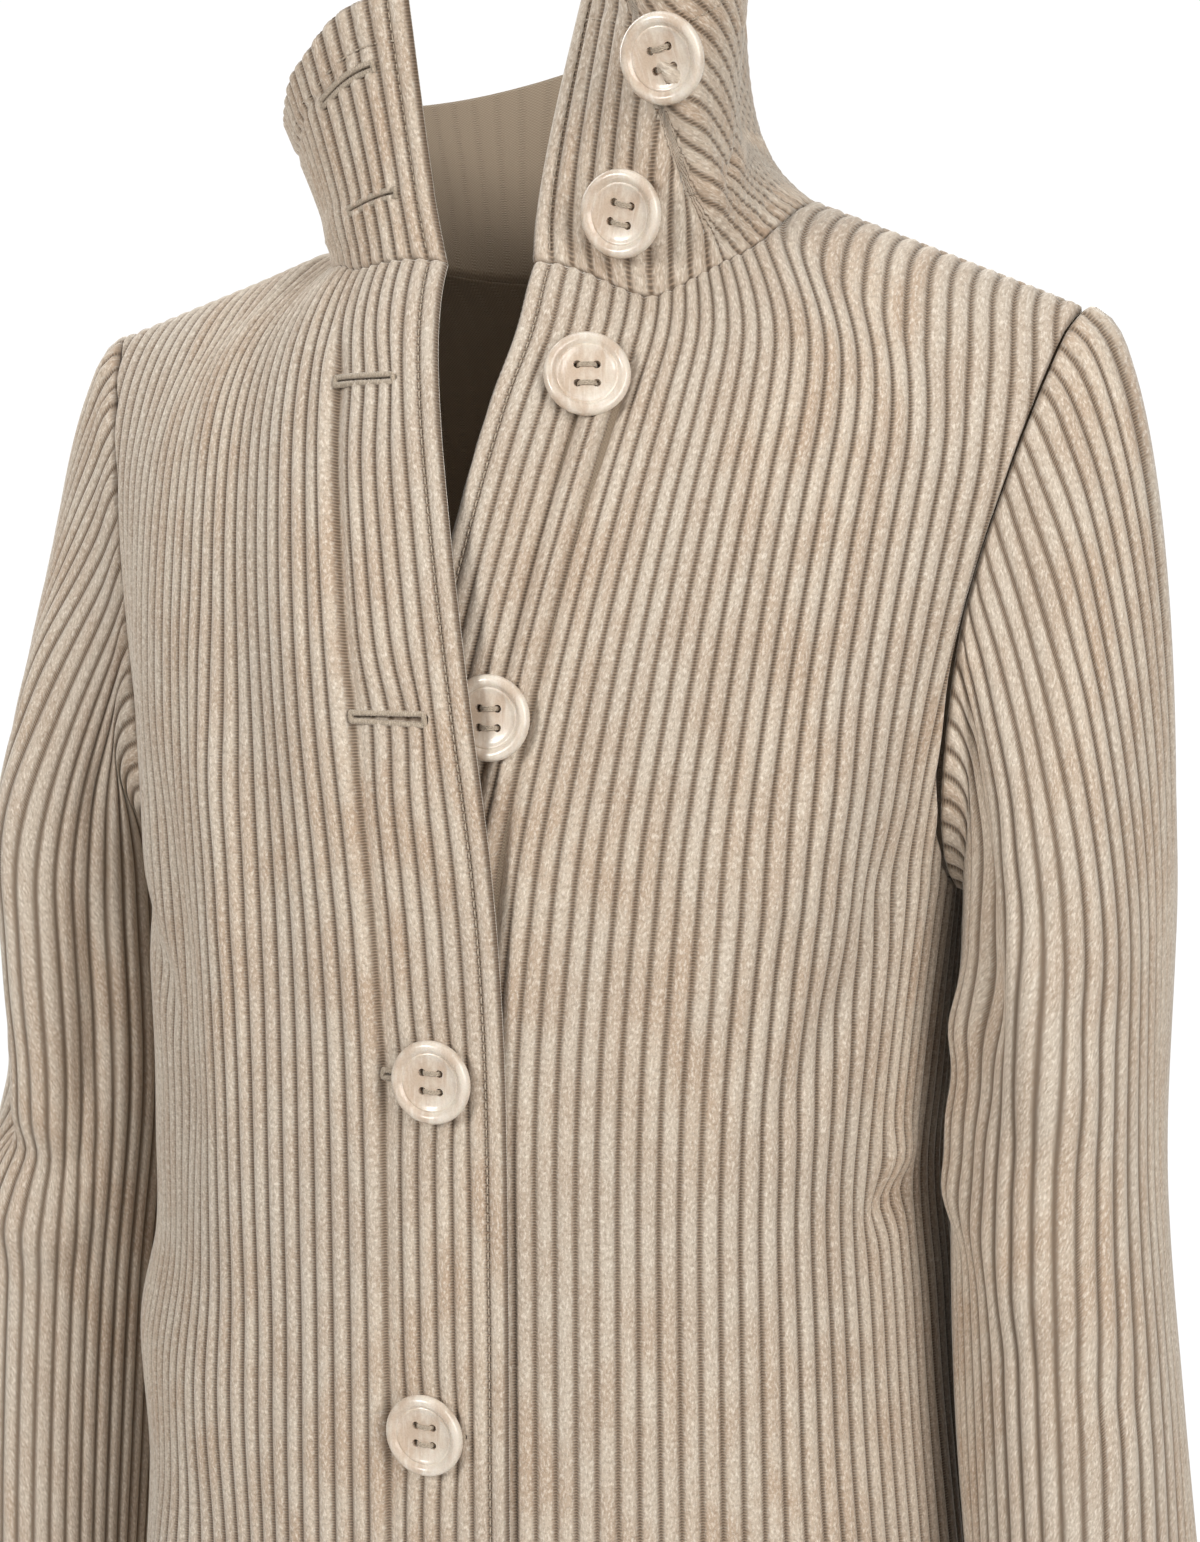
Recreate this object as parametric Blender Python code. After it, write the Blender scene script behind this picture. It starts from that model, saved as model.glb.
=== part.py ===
"""Corduroy coat, worn open at the neck: fronts, back, set-in sleeves, funnel collar and seven buttons.

Frame: metres, +Z up, the coat faces -Y, and +X is the wearer's left. The origin lies on the
coat's centre line, level with the points where the shoulder seams meet the neck. Each cloth
piece is one wall with a plain inside and the wales of the corduroy raised on its outside.
"""
import math

import bmesh
import bpy
import numpy as np
from mathutils import Matrix, Vector, geometry

# ---------------------------------------------------------------- cloth
WALE = 0.0074            # width of one wale, groove to groove
WALL = 0.0020            # thickness of the cloth in a groove
RIB = 0.0014             # height of a wale over its grooves
CREST = WALL + RIB
SEAM = 0.0004            # clearance left between neighbouring pieces at a seam
COLLAR_SEAM = 0.0009     # the collar's is wider, for its base bends more closely
WALES_PER_INNER_COLUMN = 4
WALES_PER_COLLAR_INNER_COLUMN = 2

# ---------------------------------------------------------------- body
Z_CHEST = -0.250         # level of the underarm points
Z_HEM = -0.800
NECK_X = 0.0977          # where the shoulder line starts to fall
TIP_X = 0.2015           # shoulder tip
TIP_Z = -0.0430
RIGHT_NECK_Z = -0.0130   # the right shoulder hangs this much lower at the neck
SIGMA_NECK = 0.0990      # the same two places, measured across the cloth from the centre line
SIGMA_TIP = 0.2050
FRONT_SHARE = 0.472      # share of half the chest ring that is front
RIGHT_EDGE = -0.0335     # front edges, measured from the centre line: past it, so negative
LEFT_EDGE = -0.0275
# The neck seam is an oval, seen from above, fuller on the wearer's left.
# columns: side, half_width, front_y, front_squareness
NECK = {-1: (0.0860, -0.1030, 1.9), 1: (0.1015, -0.0910, 3.2)}
NECK_BACK_Y = 0.0750
NECK_BACK_SQUARENESS = 2.2
FRONT_BEND = 3.1         # how squarely the cloth turns from the shoulder down the front
BACK_BEND = 3.3

# columns: z, right_half_width, left_half_width, front_depth, back_depth
SECTIONS = (
    (-0.250, 0.1690, 0.1610, 0.1330, 0.1180),
    (-0.330, 0.1660, 0.1550, 0.1345, 0.1080),
    (-0.364, 0.1668, 0.1528, 0.1345, 0.1065),
    (-0.409, 0.1685, 0.1572, 0.1345, 0.1065),
    (-0.451, 0.1785, 0.1605, 0.1345, 0.1100),
    (-0.509, 0.1755, 0.1665, 0.1345, 0.1150),
    (-0.600, 0.1820, 0.1760, 0.1360, 0.1260),
    (-0.700, 0.1880, 0.1850, 0.1390, 0.1350),
    (-0.800, 0.1930, 0.1930, 0.1420, 0.1400),
)
SQUARENESS = 2.35        # of the body rings: 2 is an ellipse
# columns: z, right_edge_shift, left_edge_shift, right_lift (how far the open fronts swing aside)
OPENING = (
    (0.000, -0.0380, 0.0525, 0.0125),
    (-0.028, -0.0359, 0.0522, 0.0125),
    (-0.052, -0.0322, 0.0522, 0.0124),
    (-0.075, -0.0280, 0.0470, 0.0120),
    (-0.120, -0.0200, 0.0370, 0.0115),
    (-0.184, -0.0095, 0.0220, 0.0130),
    (-0.240, -0.0040, 0.0090, 0.0088),
    (-0.310, -0.0010, 0.0010, 0.0048),
    (-0.400, 0.0000, 0.0000, 0.0048),
)
# columns: name, sigma_x, level_x (armhole's innermost point: across, and share of the way down)
ARMHOLES = {"front": (0.1830, 0.72), "back": (0.1850, 0.66)}
BODY_LEVELS = (0.0, 0.17, 0.32, 0.47, 0.62, 0.80, 1.0,
               1.13, 1.25, 1.365, 1.48, 1.65, 1.83, 2.0)

# ---------------------------------------------------------------- sleeves
# columns: z, inner_x, half_width, centre_y, half_depth
SLEEVE_LEFT = (
    (-0.275, 0.1690, 0.0350, 0.002, 0.0710),
    (-0.360, 0.1670, 0.0370, 0.000, 0.0670),
    (-0.450, 0.1710, 0.0400, -0.006, 0.0620),
    (-0.540, 0.1810, 0.0400, -0.014, 0.0570),
    (-0.630, 0.1900, 0.0400, -0.022, 0.0520),
)
SLEEVE_RIGHT = (
    (-0.275, 0.1790, 0.0370, 0.002, 0.0700),
    (-0.360, 0.1780, 0.0400, 0.000, 0.0650),
    (-0.450, 0.1875, 0.0410, -0.006, 0.0600),
    (-0.540, 0.1920, 0.0420, -0.014, 0.0560),
    (-0.630, 0.1980, 0.0410, -0.022, 0.0515),
)
SLEEVE_WALES = 49
SLEEVE_CAP_ROWS = (0.0, 0.10, 0.26, 0.48, 0.74, 1.0)
SLEEVE_LOWER_ROWS = 4
CAP_LIFT = math.radians(12)       # the cap stands up from the shoulder by this much
CAP_REACH = 0.28                  # and turns down this soon
UNDERARM_TURN = math.radians(86)  # and leaves the body nearly square at the underarm

# ---------------------------------------------------------------- collar
# columns: share of the neck seam from the right front edge, height, lean outwards, top's shift
# to +X, top's shift to +Y, waist (drawn in at mid height), sway (mid height's shift to +X)
COLLAR = (
    (0.00, 0.088, 0.000, -0.010, -0.008, 0.006, -0.004),
    (0.05, 0.083, 0.003, -0.012, -0.006, 0.006, -0.003),
    (0.10, 0.070, 0.005, -0.012, -0.004, 0.004, -0.002),
    (0.15, 0.058, 0.008, -0.009, -0.002, 0.003, 0.000),
    (0.20, 0.052, 0.011, -0.008, 0.000, 0.002, 0.000),
    (0.30, 0.062, 0.012, -0.006, 0.000, 0.002, 0.000),
    (0.50, 0.095, 0.005, -0.008, 0.000, 0.006, 0.000),
    (0.63, 0.092, -0.014, -0.014, 0.000, 0.010, 0.000),
    (0.75, 0.092, -0.016, -0.014, -0.004, 0.019, 0.000),
    (0.89, 0.098, 0.012, 0.006, -0.026, 0.006, 0.000),
    (1.00, 0.098, 0.000, 0.014, 0.018, 0.006, -0.004),
)
COLLAR_ROWS = (0.0, 0.35, 0.70, 1.0)

# ---------------------------------------------------------------- buttons
BUTTON_SIDES = 14
BUTTON_HOLE_RADIUS = 0.0014
BUTTON_HOLE_SPREAD = 0.0033
BUTTON_HOLE_SIDES = 4
# columns: radius, height over the seat (the turned outline, from the back's rim to the centre)
BUTTON_PROFILE = (
    (0.0130, 0.0000),
    (0.0150, 0.0020),
    (0.0134, 0.0046),
    (0.0104, 0.0034),
)
BUTTON_DISH = 0.0026
BUTTONHOLE_LENGTH = 0.0290
BUTTONHOLE_WIDTH = 0.0013
BUTTONHOLE_INSET = 0.0310
# columns: number, z, inset from the edge of the front it shows on, fastened (on the right
# front), seat (its back over the wales' crests)
FRONT_BUTTONS = (
    (3, -0.0690, 0.0328, False, -0.0002),
    (4, -0.1840, 0.0330, False, -0.0001),
    (5, -0.3110, 0.0250, True, 0.0010),
    (6, -0.4410, 0.0300, True, 0.0004),
    (7, -0.5710, 0.0290, True, 0.0005),
)
# columns: number, share of the collar's height, inset from its left front edge, seat
COLLAR_BUTTONS = ((1, 0.75, 0.0458, 0.0006), (2, 0.25, 0.0372, 0.0030))

COLOURS = {
    "cloth": (0.52, 0.42, 0.31),
    "button": (0.72, 0.64, 0.53),
}


# ---------------------------------------------------------------- small helpers
def clear_scene():
    for thing in list(bpy.data.objects):
        bpy.data.objects.remove(thing, do_unlink=True)


def smooth(t):
    t = min(max(t, 0.0), 1.0)
    return t * t * (3.0 - 2.0 * t)


def table_value(table, x, column):
    """Value of a table's column at x, on a smooth curve through its rows."""
    rows = sorted(table)
    xs = [row[0] for row in rows]
    ys = [row[column] for row in rows]
    if x <= xs[0]:
        return ys[0]
    if x >= xs[-1]:
        return ys[-1]
    k = max(i for i in range(len(xs) - 1) if xs[i] <= x)
    slopes = []
    for i in (k, k + 1):
        lo, hi = max(i - 1, 0), min(i + 1, len(xs) - 1)
        slopes.append((ys[hi] - ys[lo]) / (xs[hi] - xs[lo]))
    span = xs[k + 1] - xs[k]
    t = (x - xs[k]) / span
    rise = ys[k + 1] - ys[k]
    curve = t * t * (3.0 - 2.0 * t) * rise
    return (ys[k] + curve + span * slopes[0] * t * (1.0 - t) ** 2
            - span * slopes[1] * t * t * (1.0 - t))


def rib_height(sigma):
    """Height of the wales over their grooves: a ridge between each pair of grooves."""
    share = (sigma / WALE) % 1.0
    return RIB * (1.0 - abs(2.0 * share - 1.0))


def material(name, colour, roughness):
    made = bpy.data.materials.get(name) or bpy.data.materials.new(name)
    made.use_nodes = True
    shader = made.node_tree.nodes["Principled BSDF"]
    shader.inputs["Base Color"].default_value = (*colour, 1.0)
    shader.inputs["Roughness"].default_value = roughness
    shader.inputs["Metallic"].default_value = 0.0
    return made


def add_object(name, points, faces, finish):
    mesh = bpy.data.meshes.new(name)
    mesh.from_pydata([tuple(p) for p in points], [], [tuple(f) for f in faces])
    mesh.validate()
    scratch = bmesh.new()
    scratch.from_mesh(mesh)
    bmesh.ops.recalc_face_normals(scratch, faces=scratch.faces)
    bmesh.ops.triangulate(scratch, faces=scratch.faces)
    scratch.to_mesh(mesh)
    scratch.free()
    mesh.materials.append(finish)
    made = bpy.data.objects.new(name, mesh)
    bpy.context.scene.collection.objects.link(made)
    return made


# ---------------------------------------------------------------- body surface
RINGS = {}


def half_ring(side, z):
    """Arc lengths and x, y along half a body ring at height z, centre front to centre back."""
    key = (side, round(z, 5))
    if key not in RINGS:
        width = table_value(SECTIONS, z, 1 if side < 0 else 2)
        front, back = table_value(SECTIONS, z, 3), table_value(SECTIONS, z, 4)
        angle = np.linspace(-math.pi / 2, math.pi / 2, 361)
        power = 2.0 / SQUARENESS
        x = width * np.cos(angle).clip(0) ** power
        depth = np.where(angle < 0, front, back)
        y = depth * np.sign(angle) * np.abs(np.sin(angle)) ** power
        arc = np.concatenate([[0], np.cumsum(np.hypot(np.diff(x), np.diff(y)))])
        RINGS[key] = (arc, x, y)
    return RINGS[key]


def panel_width(side, part, z=Z_CHEST):
    whole = half_ring(side, z)[0][-1]
    return whole * FRONT_SHARE if part == "front" else whole * (1.0 - FRONT_SHARE)


def ring_point(side, part, sigma, z):
    """x (outwards on that side) and y of the cloth at height z, sigma across it."""
    arc, x, y = half_ring(side, z)
    chest = panel_width(side, part)
    stretch = (panel_width(side, part, z) - chest) * (max(sigma, 0.0) / chest) ** 2
    along = abs(sigma) + stretch
    if part == "back":
        along = arc[-1] - along
    mirrored = -1.0 if sigma < 0 else 1.0
    return mirrored * float(np.interp(along, arc, x)), float(np.interp(along, arc, y))


def shoulder_point(side, sigma):
    """x and z of the shoulder line, above the cloth at sigma."""
    neck_z = RIGHT_NECK_Z if side < 0 else 0.0
    if abs(sigma) < SIGMA_NECK:
        return sigma * NECK_X / SIGMA_NECK, neck_z * smooth(sigma / SIGMA_NECK)
    share = (sigma - SIGMA_NECK) / (SIGMA_TIP - SIGMA_NECK)
    return NECK_X + share * (TIP_X - NECK_X), neck_z + share * (TIP_Z - neck_z)


def level_z(level):
    if level <= 1.0:
        return Z_CHEST * level * level
    return Z_CHEST + (level - 1.0) * (Z_HEM - Z_CHEST)


def body_point(side, part, sigma, level):
    """Inside of the cloth. side is 1 on the wearer's left and -1 on the right.

    level runs from 0 on the shoulder line through 1 at the underarm to 2 at the hem.
    """
    if level <= 1.0:
        drop = level * level
        x_top, z_top = shoulder_point(side, sigma)
        x_low, y_low = ring_point(side, part, sigma, Z_CHEST)
        bend = BACK_BEND - 1.0 * smooth((sigma - 0.04) / 0.14)
        if part == "front":
            bend = FRONT_BEND - 0.8 * smooth((sigma + 0.03) / 0.06) - 0.3 * smooth((sigma - 0.06) / 0.08)
        forward = (1.0 - (1.0 - drop) ** bend) ** (1.0 / bend)
        x = x_top + (x_low - x_top) * smooth(drop)
        y = y_low * forward
        z = z_top + (Z_CHEST - z_top) * drop
        y += (-1.0 if part == "front" else 1.0) * SEAM / 2
    else:
        z = level_z(level)
        x, y = ring_point(side, part, sigma, z)
    x *= side
    if part == "front":
        reach = 0.125 + 0.105 * smooth((level - 0.15) / 0.45)
        rest = 0.15 * smooth((level - 0.15) / 0.45)
        near_edge = 1.0 - (1.0 - rest) * smooth((sigma + 0.03) / reach)
        shift = table_value(OPENING, z, 1 if side < 0 else 2)
        x += shift * near_edge
        if side < 0:
            lift = table_value(OPENING, z, 3) * smooth((0.075 - sigma) / 0.05)
            y -= lift
    return np.array((x, y, z))


def normal_of(surface, u, v, du=0.0015, dv=0.01, v_low=0.0, v_high=2.0):
    """Unit normal of a surface function by central differences."""
    across = surface(u + du, v) - surface(u - du, v)
    below, above = min(v + dv, v_high), max(v - dv, v_low)
    down = surface(u, below) - surface(u, above)
    cross = np.cross(across, down)
    return cross / np.linalg.norm(cross)


def outward(normal, towards):
    return normal if float(np.dot(normal, towards)) > 0 else -normal


def body_frame(side, part, sigma, level):
    """Point on the inside of the cloth and its outward normal."""
    def surface(u, v):
        return body_point(side, part, u, v)
    point = surface(sigma, level)
    normal = normal_of(surface, sigma, max(level, 0.02))
    return point, outward(normal, np.array((point[0], point[1], 0.05)))


# ---------------------------------------------------------------- cut edges on the cloth
def beyond_neck(side, part, sigma, level):
    """Positive outside the neck seam's oval, seen from above."""
    x, y, _ = body_point(side, part, sigma, level)
    width, depth, power = NECK[side]
    if part == "back":
        depth, power = NECK_BACK_Y, NECK_BACK_SQUARENESS
    return (abs(x) / width) ** power + abs(y / depth) ** power - 1.0


def halved(function, low, high):
    """Where a rising function passes zero."""
    for _ in range(30):
        middle = (low + high) / 2
        if function(middle) > 0:
            high = middle
        else:
            low = middle
    return (low + high) / 2


def neck_curve(side, part, first_sigma):
    """(sigma, level) pairs along the neck seam from a front edge or centre back to the shoulder."""
    corner = 0.035
    pairs = []
    for sigma in np.linspace(first_sigma, corner, 12):
        pairs.append((float(sigma), halved(lambda v: beyond_neck(side, part, float(sigma), v), 0.0, 1.0)))
    for level in np.linspace(pairs[-1][1], 0.0, 24)[1:]:
        pairs.append((halved(lambda s: beyond_neck(side, part, s, float(level)), 0.0, 0.13), float(level)))
    return pairs


def armhole_curve(side, part, count=160):
    """(sigma, level) pairs along the armhole, from the shoulder tip down to the underarm."""
    inner, middle = ARMHOLES[part]
    side_sigma = panel_width(side, part) - SEAM / 2
    upper = []
    for k in range(count):
        t = k / count
        upper.append((inner + (SIGMA_TIP - inner) * (0.5 + 0.5 * math.cos(math.pi * t)), middle * t))
    lower = []
    for k in range(count + 1):
        turn = math.pi / 2 * k / count
        lower.append((side_sigma - (side_sigma - inner) * math.cos(turn),
                      middle + (1.0 - middle) * math.sin(turn)))
    return upper + lower


def crossings(curve, columns):
    """Points where a curve of (sigma, level) pairs crosses the wale columns, in its order."""
    found = []
    for (s0, v0), (s1, v1) in zip(curve, curve[1:]):
        found.append((s0, v0, False))
        inside = [c for c in columns if min(s0, s1) < c < max(s0, s1)]
        for c in sorted(inside, reverse=bool(s1 < s0)):
            t = (c - s0) / (s1 - s0)
            found.append((c, v0 + t * (v1 - v0), True))
    found.append((*curve[-1], False))
    return found


def thin_curve(points, position, step):
    """Keeps the ends, the wale crossings, and others no closer together than step."""
    places = [position(s, v) for s, v, _ in points]
    kept = [0]
    for i in range(1, len(points) - 1):
        far = np.linalg.norm(places[i] - places[kept[-1]])
        if points[i][2] and far > 0.3 * step:
            kept.append(i)
        elif far > step:
            ahead = [j for j in range(i + 1, len(points)) if points[j][2]]
            near_next = ahead and np.linalg.norm(places[ahead[0]] - places[i]) < 0.5 * step
            if not near_next:
                kept.append(i)
    if np.linalg.norm(places[-1] - places[kept[-1]]) < 0.3 * step and len(kept) > 1:
        kept.pop()
    kept.append(len(points) - 1)
    return [points[i][:2] for i in kept]


def wale_columns(low, high):
    """Groove and crest lines strictly between low and high."""
    half = WALE / 2
    first = math.floor(low / half) + 1
    last = math.ceil(high / half) - 1
    return [k * half for k in range(first, last + 1)]


# ---------------------------------------------------------------- walls from a flat cut
def triangulate(outline, columns, levels, clearance):
    """Triangles of a flat cut: outline and columns in (sigma, level), wale lines kept as edges."""
    scale = np.array((2.0 / WALE, 14.0))
    ring = np.array(outline) * scale
    flat = [Vector(p) for p in ring]
    count = len(flat)
    edges = [(i, (i + 1) % count) for i in range(count)]
    ends = np.roll(ring, -1, axis=0)

    def inside(point):
        crossing = (ring[:, 1] > point[1]) != (ends[:, 1] > point[1])
        with np.errstate(divide="ignore", invalid="ignore"):
            at = ring[:, 0] + (point[1] - ring[:, 1]) * (ends[:, 0] - ring[:, 0]) / (ends[:, 1] - ring[:, 1])
        return int(np.count_nonzero(crossing & (point[0] < at))) % 2 == 1

    def edge_distance(point):
        run = ends - ring
        t = ((point - ring) * run).sum(1) / (run ** 2).sum(1)
        near = ring + run * t.clip(0, 1)[:, None]
        return float(np.hypot(*(point - near).T).min())

    for sigma in columns:
        on_edge = [(v, i) for i, (s, v) in enumerate(outline) if abs(s - sigma) < 1e-7]
        line = list(on_edge)
        for level in levels:
            point = np.array((sigma, level)) * scale
            if inside(point) and edge_distance(point) > clearance:
                line.append((level, len(flat)))
                flat.append(Vector(point))
        line.sort()
        for (v0, i0), (v1, i1) in zip(line, line[1:]):
            middle = np.array((sigma, (v0 + v1) / 2)) * scale
            if inside(middle):
                edges.append((i0, i1))
    result = geometry.delaunay_2d_cdt(flat, edges, [], 1, 1e-6)
    places = [(p.x / scale[0], p.y / scale[1]) for p in result[0]]
    moved = {}
    for new, originals in enumerate(result[3]):
        for old in originals:
            moved[old] = new
    return places, [tuple(f) for f in result[2]], [moved[i] for i in range(count)]


def wall(name, frame, outline, columns, inner_columns, levels, finish, extra=None):
    """Closed cloth wall over a flat cut, wales raised outside, plain inside."""
    thickness = extra or (lambda s, v: 0.0)
    outer_flat, outer_faces, outer_ring = triangulate(outline, columns, levels, 0.45)
    inner_flat, inner_faces, inner_ring = triangulate(outline, inner_columns, levels, 0.9)
    points = []
    for s, v in outer_flat:
        p, n = frame(s, v)
        points.append(p + n * (WALL + rib_height(s) + thickness(s, v)))
    start = len(points)
    for s, v in inner_flat:
        points.append(frame(s, v)[0])
    faces = [tuple(f) for f in outer_faces]
    faces += [tuple(start + i for i in reversed(f)) for f in inner_faces]
    count = len(outline)
    for k in range(count):
        a, b = outer_ring[k], outer_ring[(k + 1) % count]
        c, d = start + inner_ring[(k + 1) % count], start + inner_ring[k]
        faces.append((b, a, d))
        faces.append((b, d, c))
    made = add_object(name, points, faces, finish)
    return face_outwards(made)


def signed_volume(mesh):
    mesh.calc_loop_triangles()
    total = 0.0
    for tri in mesh.loop_triangles:
        a, b, c = (mesh.vertices[i].co for i in tri.vertices)
        total += a.dot(b.cross(c))
    return total


def face_outwards(made):
    if signed_volume(made.data) < 0:
        made.data.flip_normals()
    return made


# ---------------------------------------------------------------- panels
def front_outline(side, columns):
    """Closed outline of one front, in order: neck, shoulder, armhole, side, hem, front edge."""
    edge = RIGHT_EDGE if side < 0 else LEFT_EDGE

    def place(s, v):
        return body_point(side, "front", s, v)
    neck = neck_curve(side, "front", edge)
    side_sigma = panel_width(side, "front") - SEAM / 2
    outline = thin_curve(crossings(neck, columns), place, 0.007)
    outline += [(c, 0.0) for c in columns if neck[-1][0] + 0.001 < c < SIGMA_TIP - 0.001]
    outline += thin_curve(crossings(armhole_curve(side, "front"), columns), place, 0.009)
    outline += [(side_sigma, v) for v in BODY_LEVELS if v > 1.0]
    outline += [(c, 2.0) for c in sorted(columns, reverse=True) if edge < c < side_sigma - 0.001]
    outline += [(edge, v) for v in reversed(BODY_LEVELS) if v > neck[0][1] + 0.02]
    return outline


def back_half_outline(side, columns):
    """One half of the back's outline, from centre back up round the armhole to the hem."""
    def place(s, v):
        return body_point(side, "back", s, v)
    neck = neck_curve(side, "back", 0.0)
    side_sigma = panel_width(side, "back") - SEAM / 2
    half = thin_curve(crossings(neck, columns), place, 0.007)
    half += [(c, 0.0) for c in columns if neck[-1][0] + 0.001 < c < SIGMA_TIP - 0.001]
    half += thin_curve(crossings(armhole_curve(side, "back"), columns), place, 0.009)
    half += [(side_sigma, v) for v in BODY_LEVELS if v > 1.0]
    half += [(c, 2.0) for c in sorted(columns, reverse=True) if c < side_sigma - 0.001]
    return half


def every(columns, wales):
    step = wales * WALE
    return [c for c in columns if abs(c / step - round(c / step)) < 1e-6]


def make_front(side, finish):
    name = "front_right" if side < 0 else "front_left"
    edge = RIGHT_EDGE if side < 0 else LEFT_EDGE
    columns = wale_columns(edge + 0.0012, panel_width(side, "front") - 0.0012)
    outline = front_outline(side, columns)

    def frame(s, v):
        return body_frame(side, "front", s, v)
    return wall(name, frame, outline, columns, every(columns, WALES_PER_INNER_COLUMN),
                BODY_LEVELS, finish)


def back_frame(sigma, level):
    side = -1 if sigma < 0 else 1
    return body_frame(side, "back", abs(sigma), level)


def make_back(finish):
    right = wale_columns(0.0, panel_width(-1, "back") - 0.0012)
    left = wale_columns(0.0, panel_width(1, "back") - 0.0012)
    columns = [-c for c in reversed(right)] + [0.0] + left
    outline = back_half_outline(1, left) + [(0.0, 2.0)]
    outline += [(-s, v) for s, v in reversed(back_half_outline(-1, right)) if s > 1e-9]
    return wall("back", back_frame, outline, columns, every(columns, WALES_PER_INNER_COLUMN),
                BODY_LEVELS, finish)


# ---------------------------------------------------------------- sleeves
def seam_base(point, normal, along, away, turn):
    """Start of a piece sewn to an edge: its inside point and leaving direction.

    along runs along the seam, away points off the sewn edge in the cloth, and turn is the
    angle by which the new piece rises from that cloth.
    """
    leaving = math.cos(turn) * away + math.sin(turn) * normal
    start = point + leaving * (SEAM + CREST * math.sin(turn))
    return start, leaving


def armhole_stations(side):
    """Stations round one armhole: arc length from the tip (front negative), base and frame."""
    stations = []
    for part in ("front", "back"):
        curve = armhole_curve(side, part)
        frames = [body_frame(side, part, s, v) for s, v in curve]
        points = [f[0] for f in frames]
        arc = 0.0
        for k, (point, normal) in enumerate(frames):
            if k:
                arc += float(np.linalg.norm(point - points[k - 1]))
            ahead, behind = points[min(k + 1, len(points) - 1)], points[max(k - 1, 0)]
            down = (ahead - behind) / np.linalg.norm(ahead - behind)
            away = np.cross(normal, down)
            away /= np.linalg.norm(away)
            outwards = np.array((side, 0.0, 0.0)) + np.array((0.0, 0.0, 1.0)) * 0.8
            away = outward(away, outwards)
            stations.append((part, arc, point, normal, down, away))
    return stations


def make_sleeve_surface(side):
    table = SLEEVE_LEFT if side > 0 else SLEEVE_RIGHT
    stations = armhole_stations(side)
    halves = {}
    for part in ("front", "back"):
        rows = [s for s in stations if s[0] == part]
        halves[part] = (np.array([r[1] for r in rows]), [np.array([r[k] for r in rows]) for k in (2, 3, 4, 5)])
    whole_wales = SLEEVE_WALES * WALE
    half = whole_wales / 2
    z_first = max(row[0] for row in table)
    z_last = min(row[0] for row in table)

    def ring(sigma, z):
        inner, wide, centre_y, deep = (table_value(table, z, c) for c in (1, 2, 3, 4))
        angle = np.linspace(0.0, math.pi, 121)
        x = wide * np.cos(angle)
        y = deep * np.sin(angle)
        arc = np.concatenate([[0], np.cumsum(np.hypot(np.diff(x), np.diff(y)))])
        share = abs(sigma) / half
        along = abs(sigma) + (arc[-1] - half) * share ** 3
        px, py = float(np.interp(along, arc, x)), float(np.interp(along, arc, y))
        return np.array((side * (inner + wide + px), centre_y + math.copysign(py, sigma), z))

    def surface(sigma, level):
        """sigma from the line down the outer arm (front negative); level 0 seam, 1, 2 cuff."""
        while sigma > half:
            sigma -= whole_wales
        while sigma < -half:
            sigma += whole_wales
        if level > 1.0:
            return ring(sigma, z_first + (level - 1.0) * (z_last - z_first))
        part = "front" if sigma < 0 else "back"
        arcs, fields = halves[part]
        share = abs(sigma) / half
        bell = share + 0.10 * math.sin(2.0 * math.pi * share) / (2.0 * math.pi) * -1.0
        along = bell * arcs[-1]
        point, normal, down, away = (
            np.array([np.interp(along, arcs, field[:, c]) for c in range(3)]) for field in fields)
        normal /= np.linalg.norm(normal)
        low = smooth((-point[2] - 0.13) / 0.115)
        turn = CAP_LIFT + (UNDERARM_TURN - CAP_LIFT) * low
        start, leaving = seam_base(point, normal, down, away, turn)
        end = ring(sigma, z_first)
        far = float(np.linalg.norm(end - start))
        slant = 0.75 * math.sin(math.pi * min(share / 0.8, 1.0))
        aim = leaving * (1.0 - 0.45 * slant) + down * slant
        aim /= np.linalg.norm(aim)
        reach_out = CAP_REACH + (0.9 - CAP_REACH) * low
        t = level
        h00, h10 = 2 * t ** 3 - 3 * t ** 2 + 1, t ** 3 - 2 * t ** 2 + t
        h01, h11 = -2 * t ** 3 + 3 * t ** 2, t ** 3 - t ** 2
        return (h00 * start + h10 * far * reach_out * aim + h01 * end
                + h11 * far * 1.2 * np.array((0.0, 0.0, -1.0)))
    return surface, half


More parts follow.
